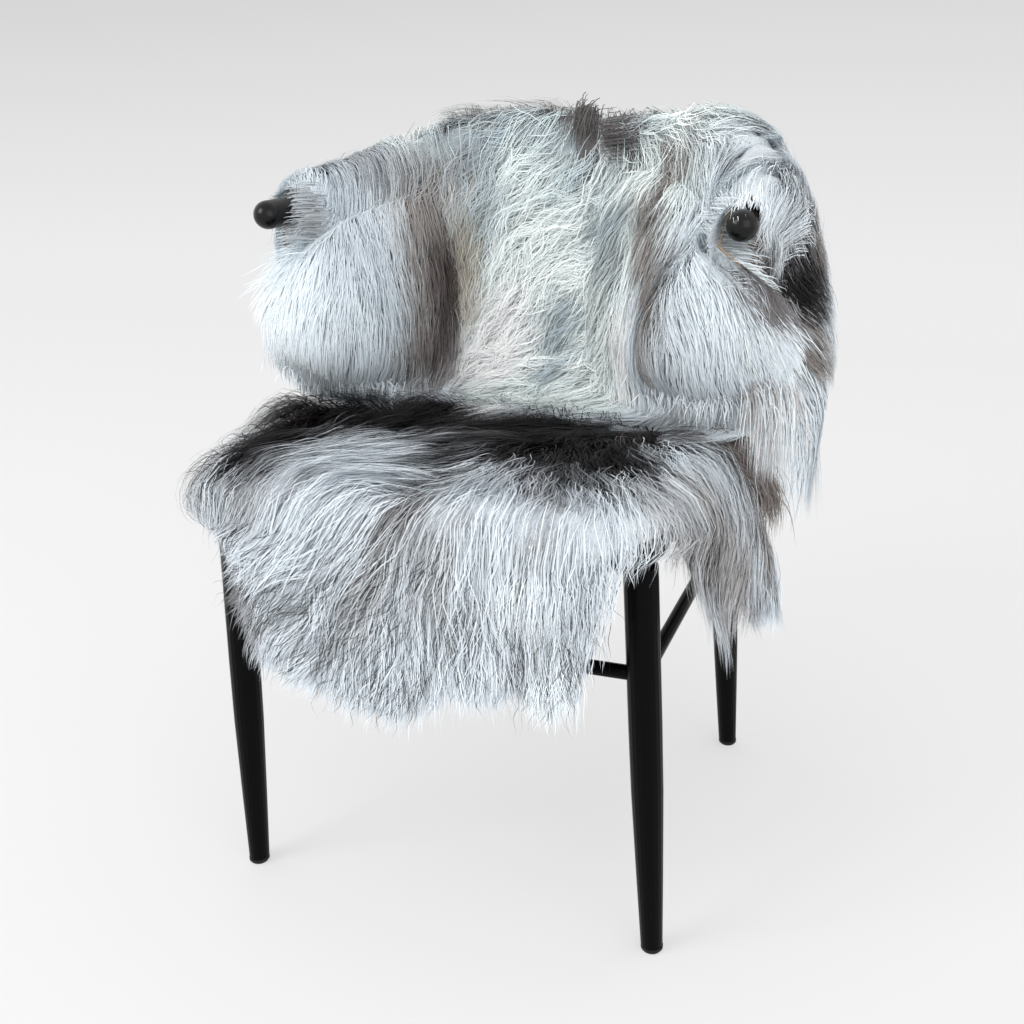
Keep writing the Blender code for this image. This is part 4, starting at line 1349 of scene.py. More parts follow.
LAP_LOCKS, BACK_LOCKS, GUARD_LOCKS = 2300, 4690, 1400
LONG = Growth(hairs=14, points=7, spread=0.0095, width=0.00088, gather=0.42, wave=0.0020, wave_length=0.055,
              dark_share=0.035, dark=(0.45, 0.80), stray=0.15, root_painted_shade=0.92, tone=0.028, soft=0.97,
              twist=0.4)
GUARD = Growth(hairs=2, points=12, spread=0.0120, width=0.00070, gather=0.20, wave=0.0028, wave_length=0.034,
               dark_share=1.0, dark=(0.18, 0.40), lowest=0.95, stray=0.2, root_painted_shade=1.0)
MIDDLE = Growth(hairs=13, points=6, spread=0.0085, width=0.00092, gather=0.45, wave=0.0040,
                wave_length=0.046, dark_share=0.05, dark=(0.45, 0.80), stray=0.34, tone=0.040, soft=0.90,
                root_painted_shade=0.84)
SHORT = Growth(hairs=13, points=6, spread=0.0090, width=0.00098, gather=0.12, wave=0.0008, wave_length=0.045,
               dark_share=0.012, lowest=0.88, tone=0.018, soft=0.97, root_painted_shade=0.94, loose=0.9, free=0.12,
               twist=0.3)


@dataclass
class Fleece:
    """All the wool: its pieces, and the coats of both charts."""

    form: SkinForm
    groomer: Groomer
    material: Material
    first_seed: int = 11
    pieces: list[Piece] = field(default_factory=list)
    coats: dict[Zone, Coat] = field(default_factory=dict)

    def build(self) -> None:
        """Grows the wool of both charts, and then the tufts at the skin's rims."""
        LapWool(self).build()
        BackWool(self).build()
        RimTufts(self).build()

    def part(self, wool: Wool, coat: Coat, growth: Growth, roots: Array, lengths: Array) -> None:
        """Makes one piece of wool."""
        seed = list(Wool).index(wool) + self.first_seed
        self.pieces.append(coat.grow(growth, roots, lengths, seed).mesh(wool.value, self.material))

    def shades(self, sheet: Sheet) -> Array:
        """Colours of the wool over the sheet's points."""
        lap, back = self.coats[LAP], self.coats[INNER]
        return np.where(sheet.on_back[:, None], back.chart.read(back.tint, back.chart.inside(sheet.places)),
                        lap.chart.read(lap.tint, lap.chart.inside(sheet.places)))


@dataclass(frozen=True)
class LapWool:
    """Long wool over the seat, the apron and the flap.

    `ahead` is how far the comb leads from a root to the skin's rim, looked up in even strides.
    """

    fleece: Fleece
    seed: int = 5
    fan_from: Pair = (0.02, 0.30)
    field_low: Pair = (-0.50, -0.50)
    field_high: Pair = (0.50, 0.16)
    tries: int = 30000
    off_rim: float = 0.005
    least_ahead: float = 0.026
    stride: float = 0.009
    strides: int = 14
    length: Pair = (0.085, 0.125)
    past_rim: Pair = (-0.008, 0.012)
    corner_length: float = 0.050
    corner_across: Step = Step(0.205, 0.02)
    corner_along: Bell = Bell(-0.150, 0.032)
    apron_behind: float = 0.005
    apron_before_fold: float = 0.012
    flap_inside: float = 0.012

    def build(self) -> None:
        """Roots locks at random over the skin and parts them into pieces."""
        coat, form, rng = self.coat(), self.fleece.form, np.random.default_rng(self.seed)
        self.fleece.coats[LAP] = coat
        spots = rng.uniform(self.field_low, self.field_high, (self.tries, 2))
        on, gap = form.within(spots)
        spots = spots[on & (gap > self.off_rim)]
        ahead = self.way_ahead(coat, spots)
        chosen = np.flatnonzero(ahead > self.least_ahead)[:LAP_LOCKS + GUARD_LOCKS]
        roots = spots[chosen]
        forward = self.corner_across.at(roots[:, 0]) * self.corner_along.at(roots[:, 1])
        whole = rng.uniform(*self.length, len(roots))
        past = rng.uniform(*self.past_rim, len(roots))
        lengths = np.minimum(whole, ahead[chosen] + past + self.corner_length * forward)

        guards = np.arange(len(roots)) >= LAP_LOCKS
        folded = form.past_fold(roots)[2] > -self.apron_before_fold
        front = (roots[:, 1] < form.seat_front + self.apron_behind) & folded
        right = (roots[:, 0] > form.seat_half_width - self.flap_inside) & ~front
        left_half, seat = roots[:, 0] < 0.0, ~front & ~right
        areas = {
            Wool.APRON_LEFT: front & left_half,
            Wool.APRON_RIGHT: front & ~left_half,
            Wool.FLAP: right,
            Wool.SEAT_LEFT: seat & left_half,
            Wool.SEAT_RIGHT: seat & ~left_half,
        }
        for wool, area in areas.items():
            self.fleece.part(wool, coat, LONG, roots[area & ~guards], lengths[area & ~guards])
        self.fleece.part(Wool.GUARD, coat, GUARD, roots[guards], lengths[guards])

    def coat(self) -> Coat:
        """The lap's comb and colours. Away from strokes, the wool fans out from a point behind the seat."""
        groomer = self.fleece.groomer
        chart = groomer.lap
        held = {LAP: np.ones(chart.pile.shape)}
        rows, columns = chart.pile.shape
        flat = chart.low + chart.step * np.stack(np.meshgrid(np.arange(columns), np.arange(rows)), axis=-1)
        outward = flat - np.array(self.fan_from)
        usual = unit(outward[..., :1] * chart.across + outward[..., 1:] * chart.along)
        comb = groomer.comb(chart, usual, COMB, held)
        base = np.broadcast_to(np.array(Shade.SILVER.value), chart.points.shape)
        coat = Coat(chart, comb, groomer.tint(chart, base, STAINS_AND_SHADOWS, held))
        chart.pile = chart.pile + groomer.heap(chart, HEAPS, held)
        return coat

    def way_ahead(self, coat: Coat, roots: Array) -> Array:
        """How far the comb's direction leads from each root to the lap's rim, in whole strides."""
        at, still, gone = roots, np.ones(len(roots), bool), np.zeros(len(roots))
        for _ in range(self.strides):
            held = coat.chart.inside(at)
            way = unit(coat.chart.read(coat.comb, held))
            at = coat.chart.walk(at, way, np.full(len(at), self.stride))
            still = still & self.fleece.form.within(at)[0]
            gone = gone + self.stride * still
        return gone


@dataclass(frozen=True)
class BackWool:
    """Shorter wool over the lobes, longer in the middle of the back, and the wool behind it.

    Steps and bells named for a height are over stations, and those named for a side are over shares from the
    right tear, or over the distance from the middle share or the nearer tear.
    """

    fleece: Fleece
    seed: int = 7
    off_seat: Step = Step(0.08, 0.16)
    arm_height: Bell = Bell(0.90, 0.15)
    tear_fade: float = 0.035
    tear_height: Step = Step(0.0, 0.3)
    fan: float = 1.5
    fan_by_arm: float = 40.0
    fan_lost: float = 0.9
    fan_end_height: Step = Step(1.9, 0.2)
    parting_heights: tuple[Step, Step] = (Step(2.35, 0.12), Step(1.55, 0.12))
    tint_parting_height: Step = Step(2.05, 0.12)
    tint_behind_height: Step = Step(1.1, 0.2)
    lobe_side: Step = Step(0.17, 0.1)
    rooted: Pair = (0.02, 2.82)
    off_tear: float = 0.003
    hem_height: Step = Step(2.5, 0.2)
    hem_thinner: float = 0.40
    tear_denser: float = 1.6
    crest_height: Bell = Bell(1.95, 0.30)
    crest_denser: float = 1.3
    middle_side: Step = Step(0.14, 0.12)
    trim_side: Step = Step(0.0, 0.06)
    trim: float = 0.50
    lobe_length: float = 0.050
    middle_more: float = 0.030
    uneven: Pair = (0.85, 1.2)
    foot_height: Step = Step(0.28, 0.3)
    foot_more: float = 0.030
    foot_more_right: float = 0.028
    skirt_side: Step = Step(0.13, 0.08)
    skirt_height: Step = Step(0.42, 0.2)
    skirt_more: float = 0.040
    bow_height: Bell = Bell(1.1, 0.25)
    bow_more: float = 0.018
    over_seat_heights: Pair = (0.42, 1.0)
    over_seat_inside: float = 0.010
    over_seat_start: float = 0.015
    over_seat_least: float = 0.030
    over_seat_laid: float = 0.012
    middle_foot: float = 0.028
    middle_climb: float = 0.36
    hem_least: float = 0.02
    hem_uneven: Pair = (-0.004, 0.012)
    hem_side: Step = Step(0.18, 0.1)
    hem_more: float = 0.030
    hem_corner: Bell = Bell(0.0, 0.06)
    hem_corner_more: float = 0.050
    hem_more_height: Step = Step(2.2, 0.4)
    hem_reached: float = 2.5
    behind_from: float = 2.0
    behind_mixed: float = 0.35
    lobe_right_end: float = 0.34
    lobe_left_start: float = 0.68

    def build(self) -> None:
        """Roots locks at random over the back and parts them into pieces.

        Near the bow's rear side, locks of the front and of the rear mix at random, so that no strip is bare.
        """
        front, rear = self.coats()
        self.fleece.coats[INNER] = front
        rng = np.random.default_rng(self.seed)
        roots = self.roots(front.chart, rng)
        lengths = self.lengths(front.chart, roots, rng)
        lengths, behind = self.hem(roots, lengths, rng)
        across = roots[:, 0]
        lobe_right, lobe_left = across < self.lobe_right_end, across > self.lobe_left_start
        areas = {
            Wool.BEHIND: (rear, behind, SHORT),
            Wool.LOBE_RIGHT: (front, ~behind & lobe_right, SHORT),
            Wool.LOBE_LEFT: (front, ~behind & lobe_left, SHORT),
            Wool.BACK: (front, ~behind & ~lobe_right & ~lobe_left, MIDDLE),
        }
        for wool, (coat, area, growth) in areas.items():
            self.fleece.part(wool, coat, growth, roots[area], lengths[area])

    @staticmethod
    def grid(chart: Chart) -> tuple[Array, Array]:
        """Share and station at each point of the chart."""
        rows, columns = chart.pile.shape
        return np.meshgrid(np.linspace(0.0, 1.0, columns), chart.low[1] + chart.step[1] * np.arange(rows))

    def by_tear(self, share: Array, station: Array) -> Array:
        """How near a place is to a tear: e to the power of minus its distance, fading in above the seat."""
        return np.exp(-np.minimum(share, 1.0 - share) / self.tear_fade) * self.tear_height.at(station)

    def coats(self) -> tuple[Coat, Coat]:
        """The front's and the rear's wool, which differ in where the comb parts behind the bow.

        Away from all strokes the wool falls, and beside the tears it fans out over their edges.
        """
        groomer = self.fleece.groomer
        chart = groomer.back
        share, station = self.grid(chart)
        seat = 1.0 - self.off_seat.at(station)
        fan = np.where(share > 0.5, 1.0, -1.0) * self.by_tear(share, station)
        fan = fan * (self.fan + self.fan_by_arm * self.arm_height.at(station))
        fan = fan * (1.0 - self.fan_lost * self.fan_end_height.at(station))
        combs = []
        for parting in self.parting_heights:
            over = parting.at(station)
            usual = unit(chart.along) * (2.0 * over - 1.0)[..., None] + unit(chart.across) * fan[..., None]
            held = {LAP: seat, INNER: (1.0 - over) * (1.0 - seat), BEHIND: over}
            combs.append(groomer.comb(chart, usual, COMB, held))

        over = self.tint_parting_height.at(station)
        held = {LAP: seat, INNER: (1.0 - over) * (1.0 - seat), BEHIND: self.tint_behind_height.at(station)}
        lobes = self.lobe_side.at(np.abs(share - 0.5))[..., None]
        lobe = np.where((share < 0.5)[..., None], Shade.LIGHT_GREY.value, Shade.PALE_BLUE.value)
        base = np.array(Shade.CREAM.value) * (1.0 - lobes) + lobe * lobes
        tint = groomer.tint(chart, base, STAINS_AND_SHADOWS, held)
        chart.pile = chart.pile + groomer.heap(chart, HEAPS, held)
        return Coat(chart, combs[0], tint), Coat(chart, combs[1], tint)

    def roots(self, chart: Chart, rng: Random) -> Array:
        """Random roots, by the skin's area: denser by the tears and at the crest, thinner at the hem."""
        rows, columns = chart.pile.shape
        share, station = self.grid(chart)
        low, high = self.rooted
        size = np.linalg.norm(np.cross(chart.across, chart.along), axis=-1)
        wanted = (station > low) & (station < high) & (np.minimum(share, 1.0 - share) > self.off_tear)
        size = size * wanted * (1.0 - self.hem_thinner * self.hem_height.at(station))
        size = size * (1.0 + self.tear_denser * self.by_tear(share, station))
        size = size * (1.0 + self.crest_denser * self.crest_height.at(station))
        total = np.cumsum(size.ravel())
        cell = np.searchsorted(total, rng.random(BACK_LOCKS) * total[-1])
        place = np.stack([cell % columns, cell // columns], axis=1) + rng.uniform(-0.5, 0.5, (BACK_LOCKS, 2))
        return chart.low + chart.step * place

    def lengths(self, chart: Chart, roots: Array, rng: Random) -> Array:
        """Lengths of the locks.

        They are longer in the middle, at the lobes' feet, at the right skirt and over the bow, and shorter
        by the tears. A lobe's lock above the seat is cut where it has just lain down on it, and those in the
        middle get longer with their height.

        Args:
            chart: The back.
            roots: Where the locks stand.
            rng: Source of the unevenness.

        Returns:
            The length of each.
        """
        form = self.fleece.form
        across, up = roots.T
        middle = 1.0 - self.middle_side.at(np.abs(across - 0.5))
        at_edge = 1.0 - self.trim_side.at(np.minimum(across, 1.0 - across))
        trim = 1.0 - self.trim * at_edge * (1.0 - self.arm_height.at(up))
        lengths = (self.lobe_length + self.middle_more * middle) * trim
        lengths = lengths * rng.uniform(*self.uneven, len(roots))
        foot = (1.0 - middle) * (1.0 - self.foot_height.at(up))
        lengths = lengths + (self.foot_more + self.foot_more_right * (across < 0.5)) * foot
        skirt = self.skirt_more * (1.0 - self.skirt_side.at(across))
        lengths = lengths + skirt * (1.0 - self.skirt_height.at(up))
        lengths = lengths + self.bow_more * (1.0 - middle) * self.bow_height.at(up)

        spot = chart.read(chart.points, roots)
        low, high = self.over_seat_heights
        inside = spot[:, 0] < form.seat_half_width - self.over_seat_inside
        over_seat = (middle < 0.5) & (up > low) & (up < high) & inside
        above = np.maximum(spot[:, 2] - form.seat_top - self.over_seat_start, self.over_seat_least)
        lengths = np.where(over_seat, np.minimum(lengths, above + self.over_seat_laid), lengths)
        climbing = self.middle_foot + self.middle_climb * np.maximum(up, 0.0)
        return np.where(middle > 0.5, np.minimum(lengths, climbing), lengths)

    def hem(self, roots: Array, lengths: Array, rng: Random) -> tuple[Array, Array]:
        """Lengths trimmed at the hem behind, and which locks belong to the rear.

        Args:
            roots: Where the locks stand.
            lengths: Their lengths so far.
            rng: Source of the unevenness.

        Returns:
            The lengths, and whether each lock is behind.
        """
        across, up = roots.T
        form = self.fleece.form
        hang = form.walls.follow("hang", form.angles(across))
        left = np.maximum((3.0 - up) * hang, self.hem_least) + rng.uniform(*self.hem_uneven, len(roots))
        below = self.hem_more * (1.0 - self.hem_side.at(across))
        below = below + self.hem_corner_more * self.hem_corner.at(across)
        left = left + below * self.hem_more_height.at(up)
        behind = up + rng.uniform(-self.behind_mixed, self.behind_mixed, len(roots)) > self.behind_from
        reaching = np.maximum(lengths, left * (up > self.hem_reached))
        return np.where(behind, np.minimum(reaching, left), lengths), behind


@dataclass(frozen=True)
class RimTufts:
    """Loose hair at the skin's rims: by the arms, under the lobes and down at the right."""

    fleece: Fleece
    seed: int = 9
    points: int = 7
    row_spread: float = 0.27
    root_spread: float = 0.006
    reach: Pair = (0.45, 1.1)
    waves: float = 1.3
    wave: float = 0.0014
    stray: float = 0.006
    early_fall: float = 0.25
    bulge: float = 0.004
    tone: float = 0.08
    # Painted shade at a tuft hair's root, as a brightness factor.
    root_painted_shade: float = 0.88
    width: float = 0.0009
    widths: Pair = (0.7, 1.2)
    facing_up: float = 0.4

    def build(self) -> None:
        """Grows every tuft into one piece. The ribbons face the picture's side and a little upwards."""
        rng, t = np.random.default_rng(self.seed), np.linspace(0.0, 1.0, self.points)
        near = self.fleece.groomer.view.axes()[2]
        lines, shades = zip(*(self.hairs(tuft, t, rng) for tuft in TUFTS))
        line = np.concatenate(lines)
        across = unit(np.cross(unit(np.gradient(line, axis=1)), near))
        width = self.width * taper(t) * rng.uniform(*self.widths, (len(line), 1))
        facing = np.broadcast_to(unit(near + np.array([0.0, 0.0, self.facing_up])), line.shape)
        colour = linear(np.clip(np.concatenate(shades), 0.0, BRIGHTEST))
        strands = Strands(line, across, facing, width, colour)
        self.fleece.pieces.append(strands.mesh(Wool.TUFTS.value, self.fleece.material))

    def hairs(self, tuft: Tuft, t: Array, rng: Random) -> tuple[Array, Array]:
        """Lines and display colours of a tuft's hairs: aside by t(2 - t), down mostly by t squared, waved.

        Args:
            tuft: Its place, reach and colour.
            t: Shares of a hair's length.
            rng: Source of the unevenness.

        Returns:
            Points and colours along each hair.
        """
        aside, _, near = self.fleece.groomer.view.axes()
        start, end = self.fleece.groomer.ends(tuft)
        count = tuft.hairs
        place = rng.normal(0.5, self.row_spread, (count, 1))
        root = start + near * tuft.lift + (end - start) * place
        root = root + rng.normal(0.0, self.root_spread, (count, 3))
        reach = rng.uniform(*self.reach, (count, 1, 1))
        wave = np.sin(TAU * (self.waves * t + rng.random((count, 1)))) * self.wave * t
        wave = wave + rng.normal(0.0, self.stray, (count, 1)) * t
        falling = self.early_fall * t + (1.0 - self.early_fall) * t * t
        fall = np.array([0.0, 0.0, tuft.upward]) * falling[:, None]
        out = aside * tuft.aside * (t * (2.0 - t))[:, None]
        out = out + near * self.bulge * np.sin(math.pi * t)[:, None]
        line = root[:, None] + (fall + out) * reach + aside * wave[..., None]
        # Random tone, times painted shade that darkens each hair towards its root.
        tone = rng.normal(1.0, self.tone, (count, 1, 1)) * root_shadow(t, self.root_painted_shade, 1.0)[:, None]
        return line, np.array(tuft.shade.value) * tone


def shell(points: Array, out: Array, faces: list[Array], inner: Array,
          outer: Array) -> tuple[Array, list[Array]]:
    """A closed wall round a sheet.

    Args:
        points: The sheet's points.
        out: The way out at each.
        faces: The sheet's faces, facing outwards.
        inner: How far out the wall's inner side lies at each point.
        outer: How far out its outer side lies.

    Returns:
        Both sides' points, and faces: the outer side, the inner one turned round, and a strip along the rim.
    """
    count = len(points)
    both = np.concatenate([points + out * inner[:, None], points + out * outer[:, None]])
    edges = np.concatenate([np.stack([f, np.roll(f, -1, axis=1)], axis=-1).reshape(-1, 2) for f in faces])
    key, back = edges[:, 0] * count + edges[:, 1], edges[:, 1] * count + edges[:, 0]
    rim = edges[~np.isin(key, back)]
    strip = np.stack([rim[:, 1] + count, rim[:, 0] + count, rim[:, 0], rim[:, 1]], axis=1)
    return both, [*[f + count for f in faces], *[f[:, ::-1] for f in faces], strip]


def crossed_diagonals(points: Array, block: Array) -> Array:
    """Cross product of each face's diagonals, or of two sides of a triangle: twice its area, outwards."""
    return np.cross(points[block[:, 2]] - points[block[:, 0]], points[block[:, -1]] - points[block[:, 1]])


def ways_out(points: Array, faces: list[Array]) -> Array:
    """Unit normals at points: the sum of the crossed diagonals of the faces round each."""
    total = np.zeros_like(points)
    for block in faces:
        normal = crossed_diagonals(points, block)
        for corner in block.T:
            np.add.at(total, corner, normal)
    return unit(total)


@dataclass(frozen=True)
class Nodes:
    """A material's node tree, with short ways to add and join nodes."""

    tree: bpy.types.NodeTree

    def add(self, kind: str, **settings: str) -> bpy.types.Node:
        """A node with its settings."""
        node = self.tree.nodes.new(kind)
        for name, value in settings.items():
            setattr(node, name, value)
        return node

    def join(self, start: bpy.types.NodeSocket, end: bpy.types.NodeSocket) -> None:
        """Joins two sockets."""
        self.tree.links.new(start, end)


def group_sockets(group: bpy.types.NodeTree, inputs: dict[str, tuple[str, object]],
                  outputs: dict[str, str]) -> None:
    """Names a group's inputs, with their kinds and values, and its outputs."""
    for name, (kind, value) in inputs.items():
        group.interface.new_socket(name=name, in_out="INPUT", socket_type=kind).default_value = value
    for name, kind in outputs.items():
        group.interface.new_socket(name=name, in_out="OUTPUT", socket_type=kind)


def grain_group() -> bpy.types.NodeTree:
    """Fine unevenness for any finish: noise over object coordinates, which varies a colour and a height."""
    group = bpy.data.node_groups.new("fine_grain", "ShaderNodeTree")
    inputs = {"Colour": ("NodeSocketColor", (0.5, 0.5, 0.5, 1.0)), "Scale": ("NodeSocketFloat", 200.0),
              "Amount": ("NodeSocketFloat", 0.2)}
    outputs = {"Colour": "NodeSocketColor", "Height": "NodeSocketFloat", "Mask": "NodeSocketFloat"}
    group_sockets(group, inputs, outputs)
    nodes = Nodes(group)
    given, result = nodes.add("NodeGroupInput"), nodes.add("NodeGroupOutput")
    place = nodes.add("ShaderNodeTexCoord")
    noise = nodes.add("ShaderNodeTexNoise")
    noise.inputs["Detail"].default_value = 3.0
    nodes.join(place.outputs["Object"], noise.inputs["Vector"])
    nodes.join(given.outputs["Scale"], noise.inputs["Scale"])
    centred = nodes.add("ShaderNodeMath", operation="SUBTRACT")
    centred.inputs[1].default_value = 0.5
    nodes.join(noise.outputs["Fac"], centred.inputs[0])
    scaled = nodes.add("ShaderNodeMath", operation="MULTIPLY_ADD")
    scaled.inputs[2].default_value = 1.0
    nodes.join(centred.outputs[0], scaled.inputs[0])
    nodes.join(given.outputs["Amount"], scaled.inputs[1])
    shaded = nodes.add("ShaderNodeVectorMath", operation="SCALE")
    nodes.join(given.outputs["Colour"], shaded.inputs[0])
    nodes.join(scaled.outputs[0], shaded.inputs["Scale"])
    nodes.join(shaded.outputs["Vector"], result.inputs["Colour"])
    nodes.join(noise.outputs["Fac"], result.inputs["Height"])
    nodes.join(noise.outputs["Fac"], result.inputs["Mask"])
    return group


@dataclass(frozen=True)
class Finish:
    """A surface: its colour, gloss and grain."""

    name: str
    colour: tuple[float, float, float]
    roughness: float
    grain_scale: float
    grain: float
    relief: float = 0.0
    rough_spread: float = 0.0
    coat: float = 0.0
    specular: float = 0.5
    sheen: float = 0.0
    painted: bool = False

    def make(self, grain: bpy.types.NodeTree) -> Material:
        """The material, from the shared grain group and one Principled shader."""
        material = bpy.data.materials.new(self.name)
        material.use_nodes = True
        shader = material.node_tree.nodes["Principled BSDF"]
        nodes = Nodes(material.node_tree)
        group = nodes.add("ShaderNodeGroup")
        group.node_tree = grain
        group.inputs["Colour"].default_value = (*self.colour, 1.0)
        group.inputs["Scale"].default_value = self.grain_scale
        group.inputs["Amount"].default_value = self.grain
        if self.painted:
            wool = nodes.add("ShaderNodeAttribute", attribute_name="wool_colour")
            nodes.join(wool.outputs["Color"], group.inputs["Colour"])
        nodes.join(group.outputs["Colour"], shader.inputs["Base Color"])
        shader.inputs["Roughness"].default_value = self.roughness
        if self.rough_spread:
            spread = nodes.add("ShaderNodeMapRange")
            spread.inputs["To Min"].default_value = self.roughness - self.rough_spread
            spread.inputs["To Max"].default_value = self.roughness + self.rough_spread
            nodes.join(group.outputs["Mask"], spread.inputs["Value"])
            nodes.join(spread.outputs["Result"], shader.inputs["Roughness"])
        if self.relief:
            bump = nodes.add("ShaderNodeBump")
            bump.inputs["Distance"].default_value = self.relief
            bump.inputs["Strength"].default_value = 0.6
            nodes.join(group.outputs["Height"], bump.inputs["Height"])
            nodes.join(bump.outputs["Normal"], shader.inputs["Normal"])
        shader.inputs["Coat Weight"].default_value = self.coat
        shader.inputs["Coat Roughness"].default_value = 0.18
        shader.inputs["Specular IOR Level"].default_value = self.specular
        shader.inputs["Sheen Weight"].default_value = self.sheen
        shader.inputs["Sheen Roughness"].default_value = 0.4
        return material


WOOL = Finish("grey_wool", (0.5, 0.5, 0.5), 0.6, 900.0, 0.20, specular=0.18, painted=True)
UNDERWOOL = Finish("underwool", (0.4, 0.4, 0.4), 0.95, 420.0, 0.55, relief=0.004, specular=0.1,
                   painted=True)
LEATHER = Finish("suede_side", (0.52, 0.40, 0.28), 0.85, 260.0, 0.30, relief=0.0006, specular=0.25,
                 sheen=0.2)
LACQUER = Finish("black_lacquer", (0.0016, 0.0017, 0.0021), 0.30, 60.0, 0.25, relief=0.00015,
                 rough_spread=0.05, specular=0.06)
BOW_LACQUER = Finish("black_lacquer_bow", (0.0020, 0.0021, 0.0026), 0.22, 60.0, 0.25, relief=0.0001,
                     rough_spread=0.04, specular=0.26)
GLIDE = Finish("glide_plastic", (0.009, 0.009, 0.0095), 0.55, 300.0, 0.2, relief=0.0002, rough_spread=0.05,
               specular=0.2)


@dataclass
class Hide:
    """The tanned skin under the wool, and the short dense wool next to it."""

    form: SkinForm
    fleece: Fleece
    leather: Material
    underwool: Material
    thickness: float = 0.0025
    inset: float = 0.034
    flat: Pair = (0.92, 1.05)
    back_lines: int = 64
    front_lines: int = 112
    under_gap: float = 0.0004
    under_depth: float = 0.38
    # Painted shade of the dense wool, as a share of the colour of the wool over it.
    under_painted_shade: float = 0.92
    lump: float = 0.16
    second_lump: float = 0.6
    lump_waves: tuple[tuple[float, float, float], ...] = (
        (171.0, 63.0, 39.0), (-79.0, 127.0, 147.0), (297.0, 40.0, -153.0), (0.0, 230.0, 0.0))

    def build(self) -> None:
        sheet = self.form.sheet(self.back_lines, self.front_lines, self.inset)
        out = ways_out(sheet.points, sheet.faces)
        level = np.zeros(len(sheet.points))
        walls, sides = shell(sheet.points, out, sheet.faces, level, level + self.thickness)
        hide = put("hide", walls, sides, self.leather)
        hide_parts("sheepskin")
        area = self.area(sheet)
        LOG.info("hide: %.3f square metres", area)
        self.under(sheet, out)

    @staticmethod
    def area(sheet: Sheet) -> float:
        """The sheet's area: half the crossed diagonals of each face."""
        crossed = (crossed_diagonals(sheet.points, block) for block in sheet.faces)
        return sum(float(np.linalg.norm(each, axis=1).sum()) / 2.0 for each in crossed)

    def under(self, sheet: Sheet, out: Array) -> Piece:
        """Dense wool: a lumpy wall whose depth is a share of the wool's, varied by products of sines."""
        points = sheet.points
        first, second, third, fourth = (np.sin(points @ np.array(wave)) for wave in self.lump_waves)
        lumps = first * second + self.second_lump * third * fourth
        start = self.thickness + self.under_gap
        depth = start + self.under_depth * sheet.pile * (1.0 + self.lump * lumps)
        walls, sides = shell(points, out, sheet.faces, np.full(len(points), start), depth)
        piece = put("underwool", walls, sides, self.underwool)
        # Painted shade: the dense wool takes the colour of the wool over it, darkened as the shade between
        # hairs.
        shade = self.fleece.shades(sheet) * self.under_painted_shade
        paint(piece, linear(np.concatenate([shade, shade])))
        LOG.info("underwool: %d points", len(walls))
        return piece


@dataclass
class Chair:
    """The chair that carries the skin: its own solids, dressed, and a finer bow."""

    bow: BowLine
    lacquer: Material
    bow_lacquer: Material
    glide: Material
    around: int = 48
    dome_rings: int = 12
    arm_rings: int = 6
    bend_rings: int = 121

    def build(self) -> None:
        """Dresses each solid and sweeps the bow."""
        for name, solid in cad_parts.items():
            if name == "sheepskin":
                continue
            for place in solid.material_slots:
                place.material = self.glide if name.startswith("glide") else self.lacquer
            LOG.info("%s: dressed", name)
        self.sweep()

    def sweep(self) -> None:
        """The bow: circles at right angles to its axis, shrunk to a half round at each tip."""
        bow, around = self.bow, self.around
        straight = bow.arm_end - bow.arm_tip - bow.radius
        dome = np.radians(np.linspace(4.0, 90.0, self.dome_rings))
        ends = -straight - bow.radius * np.cos(dome)
        whole = bow.length()
        right_arm = np.linspace(-straight, 0.0, self.arm_rings)[1:]
        left_arm = whole + np.linspace(0.0, straight, self.arm_rings)[1:]
        bend = np.linspace(0.0, whole, self.bend_rings)[1:]
        distance = np.concatenate([ends, right_arm, bend, left_arm, whole - ends[::-1][1:]])
        radius = np.full(len(distance), bow.radius)
        radius[:len(dome)] = bow.radius * np.sin(dome)
        radius[-len(dome) + 1:] = (bow.radius * np.sin(dome))[::-1][1:]
        axis = bow.along(distance)
        ahead = unit(bow.along(distance + 0.002) - bow.along(distance - 0.002))
        side = unit(np.cross(ahead, np.array([0.0, 0.0, 1.0])))
        up = np.cross(side, ahead)
        turn = np.linspace(0.0, TAU, around, endpoint=False)[:, None]
        ring = np.cos(turn) * side[:, None] + np.sin(turn) * up[:, None]
        points = axis[:, None] + ring * radius[:, None, None]
        index = np.arange(len(distance) * around).reshape(len(distance), around)
        following = np.roll(index, -1, axis=1)
        poles = np.stack([bow.along(np.array([-straight - bow.radius]))[0],
                          bow.along(np.array([whole + straight + bow.radius]))[0]])
        first, last = index.size, index.size + 1
        caps = np.concatenate([np.stack([following[0], index[0], np.full(around, first)], axis=1),
                               np.stack([index[-1], following[-1], np.full(around, last)], axis=1)])
        points = np.concatenate([points.reshape(-1, 3), poles])
        quads = grid_quads(np.hstack([index, index[:, :1]]))
        piece = put("bent_bow", points, [quads, caps], self.bow_lacquer)
        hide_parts("arm_bow")
        LOG.info("bent_bow: %d points", index.size + 2)


